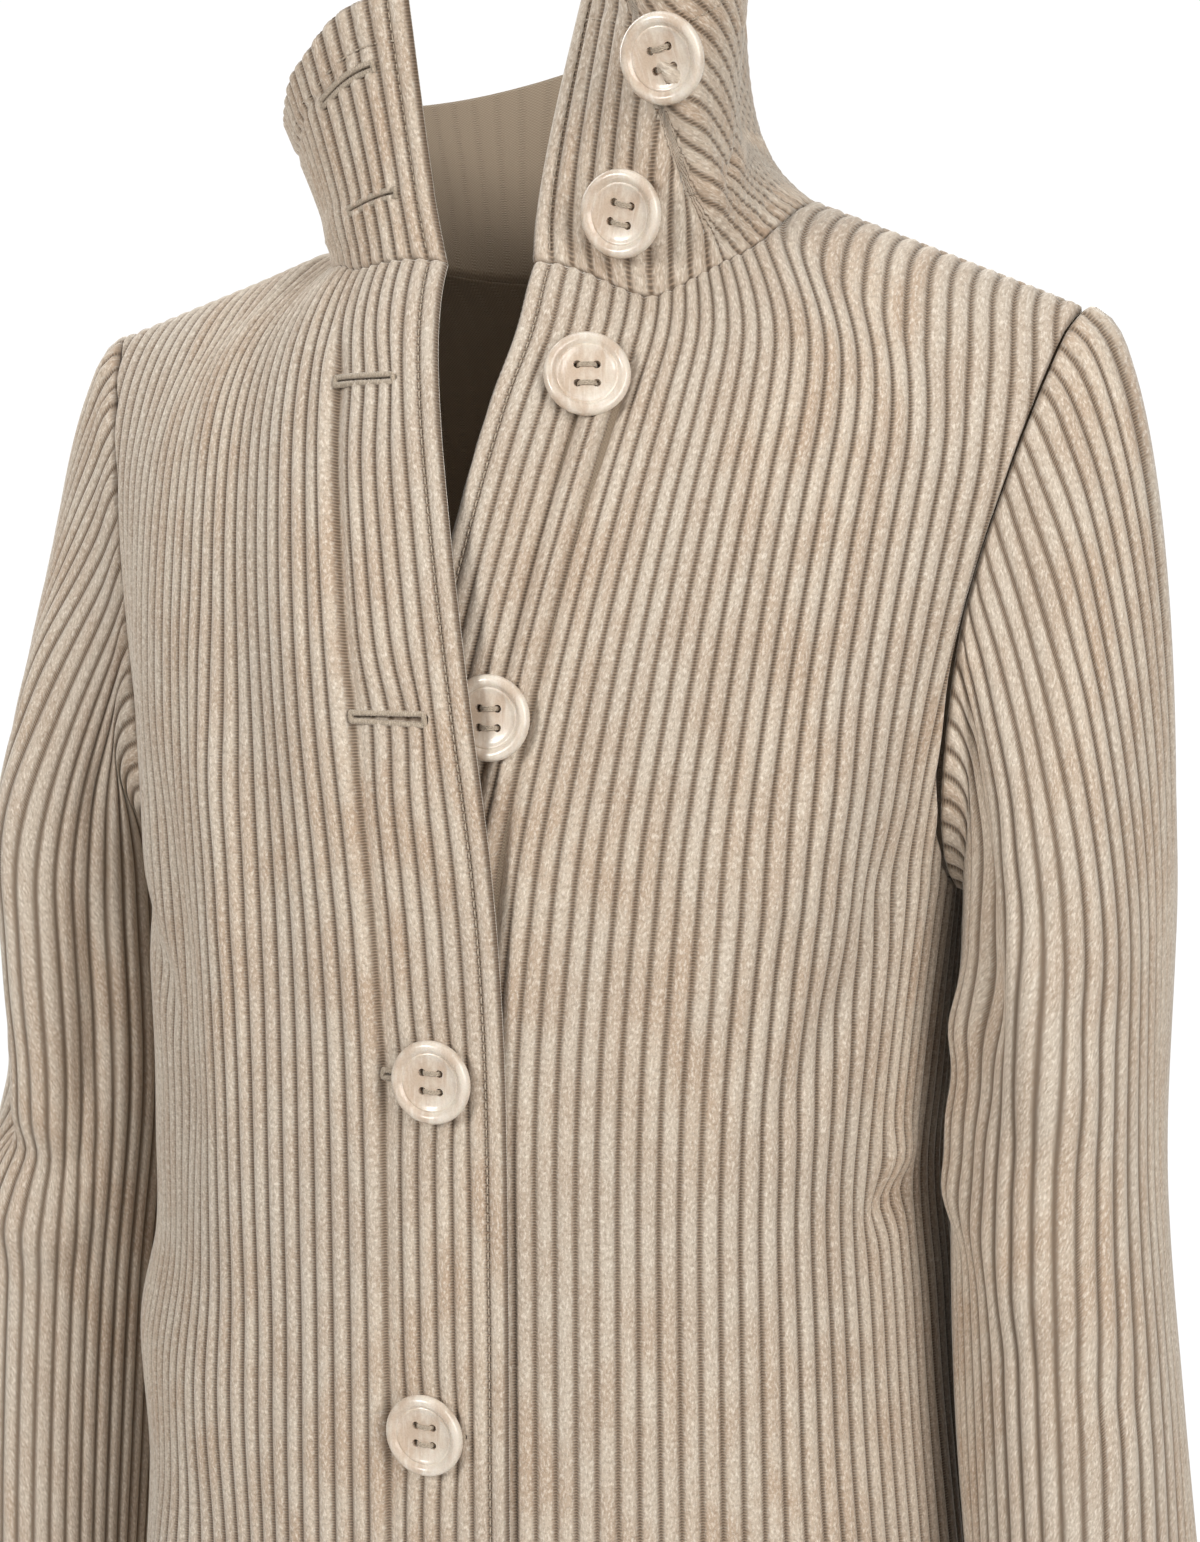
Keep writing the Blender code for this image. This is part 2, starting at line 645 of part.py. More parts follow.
def make_sleeve(side, finish):
    surface, half = make_sleeve_surface(side)
    name = "sleeve_left" if side > 0 else "sleeve_right"
    levels = list(SLEEVE_CAP_ROWS) + [1.0 + (k + 1) / SLEEVE_LOWER_ROWS for k in range(SLEEVE_LOWER_ROWS)]
    fine = [-half + k * WALE / 2 for k in range(2 * SLEEVE_WALES)]

    def axis_point(level):
        ring_points = [surface(s, level) for s in (-half, -half / 2, 0.0, half / 2)]
        return sum(ring_points) / 4

    points, faces = [], []
    for level in levels:
        centre = axis_point(level)
        for k, sigma in enumerate(fine):
            point = surface(sigma, level)
            normal = normal_of(surface, sigma, min(max(level, 0.01), 1.99), du=0.003, dv=0.01)
            normal = outward(normal, point - centre)
            points.append(point + normal * (WALL + (RIB if k % 2 else 0.0)))
    count = len(fine)
    outer_rows = len(levels)
    for r in range(outer_rows - 1):
        for k in range(count):
            a, b = r * count + k, r * count + (k + 1) % count
            faces.append((a, a + count, b + count, b))
    coarse_step = 2 * WALES_PER_INNER_COLUMN
    coarse = list(range(0, count - coarse_step // 2, coarse_step))
    start = len(points)
    for level in levels:
        for k in coarse:
            points.append(surface(fine[k], level))
    width = len(coarse)
    for r in range(outer_rows - 1):
        for k in range(width):
            a, b = start + r * width + k, start + r * width + (k + 1) % width
            faces.append((a, b, b + width, a + width))
    for row, turned in ((0, False), (outer_rows - 1, True)):
        outer0, inner0 = row * count, start + row * width
        for j in range(width):
            here, ahead = coarse[j], coarse[(j + 1) % width]
            stop = ahead if ahead > here else ahead + count
            fan = inner0 + j
            middle = (here + stop) // 2
            rim = []
            for k in range(here, stop):
                if k == middle:
                    rim.append((outer0 + k % count, fan, inner0 + (j + 1) % width))
                    fan = inner0 + (j + 1) % width
                rim.append((outer0 + k % count, fan, outer0 + (k + 1) % count))
            faces += [tuple(reversed(f)) if turned else f for f in rim]
    return face_outwards(add_object(name, points, faces, finish))


# ---------------------------------------------------------------- collar
def neck_stations():
    """Neck seam from the right front edge round the back to the left front edge."""
    rows = []

    def add(side, part, pairs):
        for s, v in pairs:
            rows.append(body_frame(side, part, s, v))
    add(-1, "front", neck_curve(-1, "front", RIGHT_EDGE))
    add(-1, "back", list(reversed(neck_curve(-1, "back", 0.0)))[1:])
    add(1, "back", neck_curve(1, "back", 0.0)[1:])
    add(1, "front", list(reversed(neck_curve(1, "front", LEFT_EDGE)))[1:])
    points = np.array([r[0] for r in rows])
    normals = np.array([r[1] for r in rows])
    arc = np.concatenate([[0], np.cumsum(np.linalg.norm(np.diff(points, axis=0), axis=1))])
    return arc, points, normals


def make_collar_surface():
    arc, points, normals = neck_stations()
    length = float(arc[-1])
    middle = np.array((0.0, -0.015, 0.0))

    def surface(along, level):
        """along the neck seam from the right front edge; level 0 seam to 1 top edge."""
        inside = min(max(along, 0.0), length)
        point = np.array([np.interp(inside, arc, points[:, c]) for c in range(3)])
        normal = np.array([np.interp(inside, arc, normals[:, c]) for c in range(3)])
        normal /= np.linalg.norm(normal)
        share = inside / length
        height, lean, shift_x, shift_y, waist, sway = (table_value(COLLAR, share, c) for c in range(1, 7))
        out = point - middle
        out[2] = 0.0
        out /= np.linalg.norm(out)
        rise = np.array((shift_x, shift_y, height)) + out * lean
        up = rise / np.linalg.norm(rise)
        start = point + up * (COLLAR_SEAM + CREST * max(0.0, float(np.dot(normal, up))))
        bow = (np.array((sway, 0.0, 0.0)) - out * waist) * math.sin(math.pi * level ** 0.6)
        extra = np.zeros(3)
        if along != inside:
            next_in = length * 0.01
            other = surface(inside + (next_in if along < 0 else -next_in), level)
            extra = (start + rise * level - other) / next_in * abs(along - inside)
        return start + rise * level + bow + extra
    return surface, length


def make_collar(finish):
    surface, length = make_collar_surface()
    count = round(length / (WALE / 2))
    columns = [length * k / count for k in range(count + 1)]
    levels = list(COLLAR_ROWS)
    points, faces = [], []

    def frame(along, level):
        point = surface(along, level)
        normal = normal_of(surface, along, level, du=0.002, dv=0.05, v_low=0.0, v_high=1.0)
        facing = point - np.array((0.0, 0.0, point[2]))
        return point, outward(normal, facing)

    for level in levels:
        for k, along in enumerate(columns):
            point, normal = frame(along, level)
            points.append(point + normal * (WALL + (RIB if k % 2 else 0.0)))
    width = count + 1
    rows = len(levels)
    for r in range(rows - 1):
        for k in range(count):
            a = r * width + k
            faces.append((a, a + width, a + width + 1, a + 1))
    step = 2 * WALES_PER_COLLAR_INNER_COLUMN
    coarse = list(range(0, count - step // 2, step)) + [count]
    start = len(points)
    for level in levels:
        for k in coarse:
            points.append(surface(columns[k], level))
    inner_width = len(coarse)
    for r in range(rows - 1):
        for k in range(inner_width - 1):
            a = start + r * inner_width + k
            faces.append((a, a + 1, a + inner_width + 1, a + inner_width))
    for row, turned in ((0, False), (rows - 1, True)):
        outer0, inner0 = row * width, start + row * inner_width
        rim = []
        for j in range(inner_width - 1):
            here, stop = coarse[j], coarse[j + 1]
            middle = (here + stop) // 2
            fan = inner0 + j
            for k in range(here, stop):
                if k == middle:
                    rim.append((outer0 + k, fan, inner0 + j + 1))
                    fan = inner0 + j + 1
                rim.append((outer0 + k, fan, outer0 + k + 1))
        faces += [tuple(reversed(f)) if turned else f for f in rim]
    for column, inner_column, turned in ((0, 0, False), (count, inner_width - 1, True)):
        for r in range(rows - 1):
            a, b = r * width + column, (r + 1) * width + column
            c, d = start + (r + 1) * inner_width + inner_column, start + r * inner_width + inner_column
            quad = (a, d, c, b)
            faces.append(tuple(reversed(quad)) if turned else quad)
    return face_outwards(add_object("collar", points, faces, finish))


# ---------------------------------------------------------------- buttons and buttonholes
def level_at(z):
    if z >= Z_CHEST:
        return math.sqrt(max(z, Z_CHEST) / Z_CHEST) if z < 0 else 0.0
    return 1.0 + (z - Z_CHEST) / (Z_HEM - Z_CHEST)


def button_mesh():
    """Turned button: rim, stepped dish and four holes, its back on the plane z = 0."""
    points, faces = [], []
    for radius, height in BUTTON_PROFILE:
        for k in range(BUTTON_SIDES):
            turn = 2 * math.pi * k / BUTTON_SIDES
            points.append((radius * math.cos(turn), radius * math.sin(turn), height))
    points.append((0.0, 0.0, BUTTON_DISH))
    centre = len(points) - 1
    for ring in range(len(BUTTON_PROFILE) - 1):
        for k in range(BUTTON_SIDES):
            a, b = ring * BUTTON_SIDES + k, ring * BUTTON_SIDES + (k + 1) % BUTTON_SIDES
            faces.append((a, b, b + BUTTON_SIDES, a + BUTTON_SIDES))
    last = (len(BUTTON_PROFILE) - 1) * BUTTON_SIDES
    for k in range(BUTTON_SIDES):
        faces.append((last + k, last + (k + 1) % BUTTON_SIDES, centre))
    faces.append(tuple(reversed(range(BUTTON_SIDES))))
    return points, faces


def holes_cutter():
    """Four small prisms that drill the button."""
    points, faces = [], []
    sides = BUTTON_HOLE_SIDES
    for sx, sy in ((1, 1), (-1, 1), (-1, -1), (1, -1)):
        start = len(points)
        for z in (-0.001, 0.006):
            for k in range(sides):
                turn = 2 * math.pi * k / sides
                points.append((sx * BUTTON_HOLE_SPREAD + BUTTON_HOLE_RADIUS * math.cos(turn),
                               sy * BUTTON_HOLE_SPREAD + BUTTON_HOLE_RADIUS * math.sin(turn), z))
        for k in range(sides):
            a, b = start + k, start + (k + 1) % sides
            faces.append((a, b, b + sides, a + sides))
        faces.append(tuple(reversed(range(start, start + sides))))
        faces.append(tuple(range(start + sides, start + 2 * sides)))
    return points, faces


def frame_matrix(point, normal, across):
    z = Vector(normal).normalized()
    x = (Vector(across) - z * Vector(across).dot(z)).normalized()
    y = z.cross(x)
    rows = [(x[i], y[i], z[i], point[i]) for i in range(3)] + [(0, 0, 0, 1)]
    return Matrix(rows)


def cut_with(target, cutter, name):
    cutter.hide_render = True
    cutter.display_type = "WIRE"
    cut = target.modifiers.new(name, "BOOLEAN")
    cut.operation = "DIFFERENCE"
    cut.solver = "EXACT"
    cut.object = cutter


def make_button(number, matrix, finish):
    points, faces = button_mesh()
    made = face_outwards(add_object(f"button_{number}", points, faces, finish))
    made.matrix_world = matrix
    hole_points, hole_faces = holes_cutter()
    cutter = face_outwards(add_object(f"cut_button_{number}", hole_points, hole_faces, finish))
    cutter.matrix_world = matrix
    cut_with(made, cutter, "holes")
    return made


def make_buttonhole(target, number, matrix, finish):
    """Slit through the wall: length along the frame's x, through its z."""
    half_l, half_w, deep = BUTTONHOLE_LENGTH / 2, BUTTONHOLE_WIDTH / 2, 0.008
    points = [(x, y, z) for z in (-deep, deep) for x, y in
              ((-half_l, -half_w), (half_l, -half_w), (half_l, half_w), (-half_l, half_w))]
    faces = [(0, 3, 2, 1), (4, 5, 6, 7), (0, 1, 5, 4), (1, 2, 6, 5), (2, 3, 7, 6), (3, 0, 4, 7)]
    cutter = face_outwards(add_object(f"cut_buttonhole_{number}", points, faces, finish))
    cutter.matrix_world = matrix
    cut_with(target, cutter, f"buttonhole_{number}")


def front_place(side, inset, z):
    """Frame on a front's outer face, inset from its edge, at height z."""
    edge = RIGHT_EDGE if side < 0 else LEFT_EDGE
    sigma, level = edge + inset, level_at(z)
    point, normal = body_frame(side, "front", sigma, level)
    across = (body_point(side, "front", sigma + 0.004, level)
              - body_point(side, "front", sigma - 0.004, level)) * side
    return point, normal, across


def collar_place(surface, along, level, turned):
    """Frame on the collar's outer face; turned is -1 near the left edge, whose seam runs back."""
    point = surface(along, level)
    normal = outward(normal_of(surface, along, level, dv=0.05, v_high=1.0), np.array((0.0, -1.0, 0.0)))
    across = (surface(along + 0.004, level) - surface(along - 0.004, level)) * turned
    return point, normal, across


def make_buttons(front_right, collar, finish, cloth):
    surface, length = make_collar_surface()
    for number, z, inset, fastened, seat in FRONT_BUTTONS:
        point, normal, across = front_place(-1 if fastened else 1, inset, z)
        make_button(number, frame_matrix(point + normal * (CREST + seat), normal, across), finish)
        hole = front_place(-1, BUTTONHOLE_INSET, z)
        make_buttonhole(front_right, number, frame_matrix(hole[0], hole[1], hole[2]), cloth)
    for number, level, inset, seat in COLLAR_BUTTONS:
        point, normal, across = collar_place(surface, length - inset, level, -1)
        make_button(number, frame_matrix(point + normal * (CREST + seat), normal, across), finish)
        hole = collar_place(surface, BUTTONHOLE_INSET, level, 1)
        make_buttonhole(collar, number, frame_matrix(hole[0], hole[1], hole[2]), cloth)


def main():
    clear_scene()
    cloth = material("corduroy", COLOURS["cloth"], 0.9)
    shell = material("button", COLOURS["button"], 0.35)
    front_right = make_front(-1, cloth)
    make_front(1, cloth)
    make_back(cloth)
    make_sleeve(-1, cloth)
    make_sleeve(1, cloth)
    collar = make_collar(cloth)
    make_buttons(front_right, collar, shell, cloth)


main()
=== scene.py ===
"""Looks of the corduroy coat: each cloth piece rebuilt as a fine ribbed shell on its CAD solid's form.

The shape functions below repeat the part's own, in numpy, so every shell lies where its solid is.
Each shell is a grid whose columns follow the wales, with listed folds laid on it.
"""
import math

import bmesh
import bpy
import numpy as np
from mathutils import Matrix, Vector, kdtree


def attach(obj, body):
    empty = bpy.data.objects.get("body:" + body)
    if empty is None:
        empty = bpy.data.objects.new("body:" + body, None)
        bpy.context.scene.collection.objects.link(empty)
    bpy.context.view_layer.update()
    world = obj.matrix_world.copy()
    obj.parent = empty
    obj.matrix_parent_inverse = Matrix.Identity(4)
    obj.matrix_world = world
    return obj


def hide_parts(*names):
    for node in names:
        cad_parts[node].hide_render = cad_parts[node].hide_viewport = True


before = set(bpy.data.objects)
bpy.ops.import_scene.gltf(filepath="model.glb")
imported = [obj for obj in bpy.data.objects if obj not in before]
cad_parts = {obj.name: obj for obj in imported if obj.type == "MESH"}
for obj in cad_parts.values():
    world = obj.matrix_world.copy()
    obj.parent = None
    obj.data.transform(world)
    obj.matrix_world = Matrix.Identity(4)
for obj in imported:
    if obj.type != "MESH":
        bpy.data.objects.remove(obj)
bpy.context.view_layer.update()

# ---------------------------------------------------------------- the part's measures
WALE = 0.0074
WALL = 0.0020
RIB = 0.0014
CREST = WALL + RIB
SEAM = 0.0004
COLLAR_SEAM = 0.0009
Z_CHEST = -0.250
Z_HEM = -0.800
NECK_X = 0.0977
TIP_X = 0.2015
TIP_Z = -0.0430
RIGHT_NECK_Z = -0.0130
SIGMA_NECK = 0.0990
SIGMA_TIP = 0.2050
FRONT_SHARE = 0.472
RIGHT_EDGE = -0.0335
LEFT_EDGE = -0.0275
NECK = {-1: (0.0860, -0.1030, 1.9), 1: (0.1015, -0.0910, 3.2)}
NECK_BACK_Y = 0.0750
NECK_BACK_SQUARENESS = 2.2
FRONT_BEND = 3.1
BACK_BEND = 3.3
SQUARENESS = 2.35
# columns: z, right_half_width, left_half_width, front_depth, back_depth
SECTIONS = (
    (-0.250, 0.1690, 0.1610, 0.1330, 0.1180),
    (-0.330, 0.1660, 0.1550, 0.1345, 0.1080),
    (-0.364, 0.1668, 0.1528, 0.1345, 0.1065),
    (-0.409, 0.1685, 0.1572, 0.1345, 0.1065),
    (-0.451, 0.1785, 0.1605, 0.1345, 0.1100),
    (-0.509, 0.1755, 0.1665, 0.1345, 0.1150),
    (-0.600, 0.1820, 0.1760, 0.1360, 0.1260),
    (-0.700, 0.1880, 0.1850, 0.1390, 0.1350),
    (-0.800, 0.1930, 0.1930, 0.1420, 0.1400),
)
# columns: z, right_edge_shift, left_edge_shift, right_lift
OPENING = (
    (0.000, -0.0380, 0.0525, 0.0125),
    (-0.028, -0.0359, 0.0522, 0.0125),
    (-0.052, -0.0322, 0.0522, 0.0124),
    (-0.075, -0.0280, 0.0470, 0.0120),
    (-0.120, -0.0200, 0.0370, 0.0115),
    (-0.184, -0.0095, 0.0220, 0.0130),
    (-0.240, -0.0040, 0.0090, 0.0088),
    (-0.310, -0.0010, 0.0010, 0.0048),
    (-0.400, 0.0000, 0.0000, 0.0048),
)
ARMHOLES = {"front": (0.1830, 0.72), "back": (0.1850, 0.66)}
# columns: z, inner_x, half_width, centre_y, half_depth
SLEEVE_LEFT = (
    (-0.275, 0.1690, 0.0350, 0.002, 0.0710),
    (-0.360, 0.1670, 0.0370, 0.000, 0.0670),
    (-0.450, 0.1710, 0.0400, -0.006, 0.0620),
    (-0.540, 0.1810, 0.0400, -0.014, 0.0570),
    (-0.630, 0.1900, 0.0400, -0.022, 0.0520),
)
SLEEVE_RIGHT = (
    (-0.275, 0.1790, 0.0370, 0.002, 0.0700),
    (-0.360, 0.1780, 0.0400, 0.000, 0.0650),
    (-0.450, 0.1875, 0.0410, -0.006, 0.0600),
    (-0.540, 0.1920, 0.0420, -0.014, 0.0560),
    (-0.630, 0.1980, 0.0410, -0.022, 0.0515),
)
SLEEVE_WALES = 49
CAP_LIFT = math.radians(12)
CAP_REACH = 0.28
UNDERARM_TURN = math.radians(86)
# columns: share of the neck seam, height, lean, top's shift to +X and +Y, waist, sway
COLLAR = (
    (0.00, 0.088, 0.000, -0.010, -0.008, 0.006, -0.004),
    (0.05, 0.083, 0.003, -0.012, -0.006, 0.006, -0.003),
    (0.10, 0.070, 0.005, -0.012, -0.004, 0.004, -0.002),
    (0.15, 0.058, 0.008, -0.009, -0.002, 0.003, 0.000),
    (0.20, 0.052, 0.011, -0.008, 0.000, 0.002, 0.000),
    (0.30, 0.062, 0.012, -0.006, 0.000, 0.002, 0.000),
    (0.50, 0.095, 0.005, -0.008, 0.000, 0.006, 0.000),
    (0.63, 0.092, -0.014, -0.014, 0.000, 0.010, 0.000),
    (0.75, 0.092, -0.016, -0.014, -0.004, 0.019, 0.000),
    (0.89, 0.098, 0.012, 0.006, -0.026, 0.006, 0.000),
    (1.00, 0.098, 0.000, 0.014, 0.018, 0.006, -0.004),
)
BUTTONHOLE_LENGTH = 0.0290
BUTTONHOLE_INSET = 0.0310
# columns: number, z, inset from the edge of the front it shows on, fastened, seat
FRONT_BUTTONS = (
    (3, -0.0690, 0.0328, False, -0.0002),
    (4, -0.1840, 0.0330, False, -0.0001),
    (5, -0.3110, 0.0250, True, 0.0010),
    (6, -0.4410, 0.0300, True, 0.0004),
    (7, -0.5710, 0.0290, True, 0.0005),
)
# columns: number, share of the collar's height, inset from its left front edge, seat
COLLAR_BUTTONS = ((1, 0.75, 0.0458, 0.0006), (2, 0.25, 0.0372, 0.0030))

# ---------------------------------------------------------------- fineness and finish
STRIP = 0.0450           # width of the doubled strip down each front edge
STRIP_WALE = 0.0067      # the wales lie closer on it
RIB_POWER = 1.8          # how flat the wales' tops are
GROOVE_WALL = 0.0016     # the pile's grooves reach deeper than the solid's
PILE_HEIGHT = 0.0019     # from a groove's floor to a wale's top
PHASES = (0.0, 0.09, 0.27, 0.5, 0.73, 0.91)
BACK_PHASES = (0.0, 0.12, 0.36, 0.64, 0.88)
NEAR_EDGE = (0.0, 0.0006, 0.0014, 0.0025)   # rows packed against a cut edge
SEAM_ROLL = 0.0024       # a sewn edge rounds into its seam over this width
EDGE_ROLL = 0.0019       # and a finished edge over this
SEAM_FLAT = 0.0012       # the wales are pressed flat this near a seam
SEAM_RIB = 0.0006        # and are this high there
FREE_WITHIN = 0.018      # folds grow to their full height this far from a seam
EDGE_FAR = 0.02          # distances to an edge are cut off here
SLIT_DEPTH = 0.88        # share of the cloth's thickness that is gone in a buttonhole
BINDING_SINK = 0.0009    # the bindings' centres lie this far under the wales' tops
SLIT_ROWS = (-0.0009, -0.0004, 0.0, 0.0004, 0.0009)   # grid rows packed round a buttonhole
HEM_ROWS = (-0.0015, 0.0, 0.0015)                     # and round the hem's stitching
STITCH_INSET = 0.0067    # topstitching from a finished edge
STITCH_GROOVE = 0.0012   # half width of the groove that stitches press
STITCH_PRESS = 0.6       # share of the wales' height that they press down
COLLAR_PRESS = 0.7
HEM_DEPTH = 0.0300
BODY_HANG = 0.0045       # height of the hang's waves
SLEEVE_HANG = 0.0040
THREAD_RADIUS = 0.00030
BINDING_RADIUS = 0.00105
COLLAR_CREASE = 0.4965   # length along the collar at which its crease starts
CREASE_RISE = 0.0488     # and how far on it ends
COLLAR_COLUMNS = 9       # grid columns in each of the collar's wales
COLLAR_TUCK = 0.85       # share of its rise off the cloth by which its base reaches into the seam
COLLAR_LEAN = 0.105      # how far the wales behind its crease lean, over its whole height
COLLAR_TALL = 0.085      # the height by which lengths up it are turned into levels
COLLAR_STITCH = 0.0150   # topstitching from its top edge
SEAM_STEP = 0.0004       # spacing of the points that distances to an edge are taken from


# ---------------------------------------------------------------- small helpers
def smooth(t):
    t = np.clip(t, 0.0, 1.0)
    return t * t * (3.0 - 2.0 * t)


def linked(made):
    bpy.context.scene.collection.objects.link(made)
    return made


def unit(vectors):
    return vectors / np.linalg.norm(vectors, axis=-1, keepdims=True)


def run_length(points):
    """Length along a line, or down each column of a grid, of points up to each one."""
    steps = np.linalg.norm(np.diff(points, axis=0), axis=-1)
    return np.concatenate([np.zeros((1, *steps.shape[1:])), np.cumsum(steps, axis=0)])


def at_places(where, places, vectors):
    """Vectors along a line, read at the given places."""
    return np.stack([np.interp(where, places, vectors[:, c]) for c in range(vectors.shape[1])], axis=-1)


def table_curve(table, x, column):
    """Values of a table's column at x, on a smooth curve through its rows."""
    rows = np.array(sorted(table))
    xs, ys = rows[:, 0], rows[:, column]
    last = len(xs) - 1
    lo, hi = np.maximum(np.arange(last + 1) - 1, 0), np.minimum(np.arange(last + 1) + 1, last)
    slope = (ys[hi] - ys[lo]) / (xs[hi] - xs[lo])
    x = np.clip(x, xs[0], xs[-1])
    k = np.clip(np.searchsorted(xs, x, side="right") - 1, 0, last - 1)
    span = xs[k + 1] - xs[k]
    t = (x - xs[k]) / span
    return (ys[k] + t * t * (3.0 - 2.0 * t) * (ys[k + 1] - ys[k])
            + span * slope[k] * t * (1.0 - t) ** 2 - span * slope[k + 1] * t * t * (1.0 - t))


# ---------------------------------------------------------------- body surface
def half_ring(side, z):
    width = float(table_curve(SECTIONS, z, 1 if side < 0 else 2))
    front, back = float(table_curve(SECTIONS, z, 3)), float(table_curve(SECTIONS, z, 4))
    angle = np.linspace(-math.pi / 2, math.pi / 2, 361)
    power = 2.0 / SQUARENESS
    x = width * np.cos(angle).clip(0) ** power
    y = np.where(angle < 0, front, back) * np.sign(angle) * np.abs(np.sin(angle)) ** power
    return run_length(np.stack([x, y], axis=-1)), x, y


def panel_share(part):
    return FRONT_SHARE if part == "front" else 1.0 - FRONT_SHARE


def panel_width(side, part):
    return half_ring(side, Z_CHEST)[0][-1] * panel_share(part)


def panel_start(side, part):
    """Sigma of a front's edge, or of the middle of the back."""
    return (RIGHT_EDGE if side < 0 else LEFT_EDGE) if part == "front" else 0.0


def side_seam(side, part):
    return panel_width(side, part) - SEAM / 2


def level_at(z):
    """Level of a height below the shoulders, near the front's edge."""
    if z >= Z_CHEST:
        return math.sqrt(z / Z_CHEST) if z < 0 else 0.0
    return 1.0 + (z - Z_CHEST) / (Z_HEM - Z_CHEST)


def ring_points(side, part, sigma, z):
    """x and y of the cloth at one height z, sigma across it."""
    arc, x, y = half_ring(side, z)
    chest = panel_width(side, part)
    stretch = (arc[-1] * panel_share(part) - chest) * (np.maximum(sigma, 0.0) / chest) ** 2
    along = np.abs(sigma) + stretch
    if part == "back":
        along = arc[-1] - along
    return np.where(sigma < 0, -1.0, 1.0) * np.interp(along, arc, x), np.interp(along, arc, y)


def shoulder_points(side, sigma):
    neck_z = RIGHT_NECK_Z if side < 0 else 0.0
    share = (sigma - SIGMA_NECK) / (SIGMA_TIP - SIGMA_NECK)
    inside = np.abs(sigma) < SIGMA_NECK
    x = np.where(inside, sigma * NECK_X / SIGMA_NECK, NECK_X + share * (TIP_X - NECK_X))
    z = np.where(inside, neck_z * smooth(sigma / SIGMA_NECK), neck_z + share * (TIP_Z - neck_z))
    return x, z


def body_points(side, part, sigma, level):
    """Inside of the cloth: level 0 on the shoulder line, 1 at the underarm, 2 at the hem."""
    sigma, level = np.broadcast_arrays(np.asarray(sigma, float), np.asarray(level, float))
    drop = np.minimum(level, 1.0) ** 2
    x_top, z_top = shoulder_points(side, sigma)
    x_low, y_low = ring_points(side, part, sigma, Z_CHEST)
    bend = BACK_BEND - 1.0 * smooth((sigma - 0.04) / 0.14)
    if part == "front":
        bend = FRONT_BEND - 0.8 * smooth((sigma + 0.03) / 0.06) - 0.3 * smooth((sigma - 0.06) / 0.08)
    forward = (1.0 - (1.0 - drop) ** bend) ** (1.0 / bend)
    x = x_top + (x_low - x_top) * smooth(drop)
    y = y_low * forward + (-1.0 if part == "front" else 1.0) * SEAM / 2
    z = z_top + (Z_CHEST - z_top) * drop
    low = level > 1.0
    if low.any():
        z_low = np.round(Z_CHEST + (level[low] - 1.0) * (Z_HEM - Z_CHEST), 7)
        s_low = sigma[low]
        found_x, found_y = np.empty(len(z_low)), np.empty(len(z_low))
        heights, which = np.unique(z_low, return_inverse=True)
        order = np.argsort(which, kind="stable")
        for height, chosen in zip(heights, np.split(order, np.cumsum(np.bincount(which))[:-1])):
            found_x[chosen], found_y[chosen] = ring_points(side, part, s_low[chosen], height)
        x[low], y[low], z[low] = found_x, found_y, z_low
    x = x * side
    if part == "front":
        reach = 0.125 + 0.105 * smooth((level - 0.15) / 0.45)
        rest = 0.15 * smooth((level - 0.15) / 0.45)
        near_edge = 1.0 - (1.0 - rest) * smooth((sigma + 0.03) / reach)
        x = x + table_curve(OPENING, z, 1 if side < 0 else 2) * near_edge
        if side < 0:
            y = y - table_curve(OPENING, z, 3) * smooth((0.075 - sigma) / 0.05)
    return np.stack([x, y, z], axis=-1)


def turned_to(normals, towards):
    facing = np.sum(normals * towards, axis=-1, keepdims=True)
    return np.where(facing > 0, normals, -normals)


def body_frames(side, part, sigma, level, du=0.0015, dv=0.01):
    """Points on the inside of the cloth and outward normals."""
    points = body_points(side, part, sigma, level)
    held = np.maximum(level, 0.02)
    across = body_points(side, part, sigma + du, held) - body_points(side, part, sigma - du, held)
    down = (body_points(side, part, sigma, np.minimum(held + dv, 2.0))
            - body_points(side, part, sigma, np.maximum(held - dv, 0.0)))
    towards = points * (1.0, 1.0, 0.0) + (0.0, 0.0, 0.05)
    return points, turned_to(unit(np.cross(across, down)), towards)


def beyond_neck(side, part, sigma, level):
    points = body_points(side, part, sigma, level)
    width, depth, power = NECK[side]
    if part == "back":
        depth, power = NECK_BACK_Y, NECK_BACK_SQUARENESS
    return (np.abs(points[..., 0]) / width) ** power + np.abs(points[..., 1] / depth) ** power - 1.0


def halved(function, low, high, shape):
    """Where a rising function passes zero, for an array of cases."""
    low, high = np.full(shape, float(low)), np.full(shape, float(high))
    for _ in range(30):
        middle = (low + high) / 2
        over = function(middle) > 0
        high, low = np.where(over, middle, high), np.where(over, low, middle)
    return (low + high) / 2


def neck_level(side, part, sigma):
    """Level of the neck seam over each sigma, or 0 where the cloth reaches the shoulder line."""
    found = halved(lambda v: beyond_neck(side, part, sigma, v), 0.0, 1.0, sigma.shape)
    return np.where(beyond_neck(side, part, sigma, 0.0 * sigma) < 0, found, 0.0)


def neck_sigma(side, part, level):
    return halved(lambda s: beyond_neck(side, part, s, level), 0.0, 0.13, level.shape)


def neck_curve(side, part, first_sigma):
    corner = 0.035
    sigma = np.linspace(first_sigma, corner, 40)
    level = halved(lambda v: beyond_neck(side, part, sigma, v), 0.0, 1.0, sigma.shape)
    lower = np.linspace(level[-1], 0.0, 90)[1:]
    return np.append(sigma, neck_sigma(side, part, lower)), np.append(level, lower)


def armhole_upper(inner, share):
    """Sigma on the armhole, by share of the way down from the shoulder to its innermost place."""
    return inner + (SIGMA_TIP - inner) * (0.5 + 0.5 * np.cos(math.pi * share))


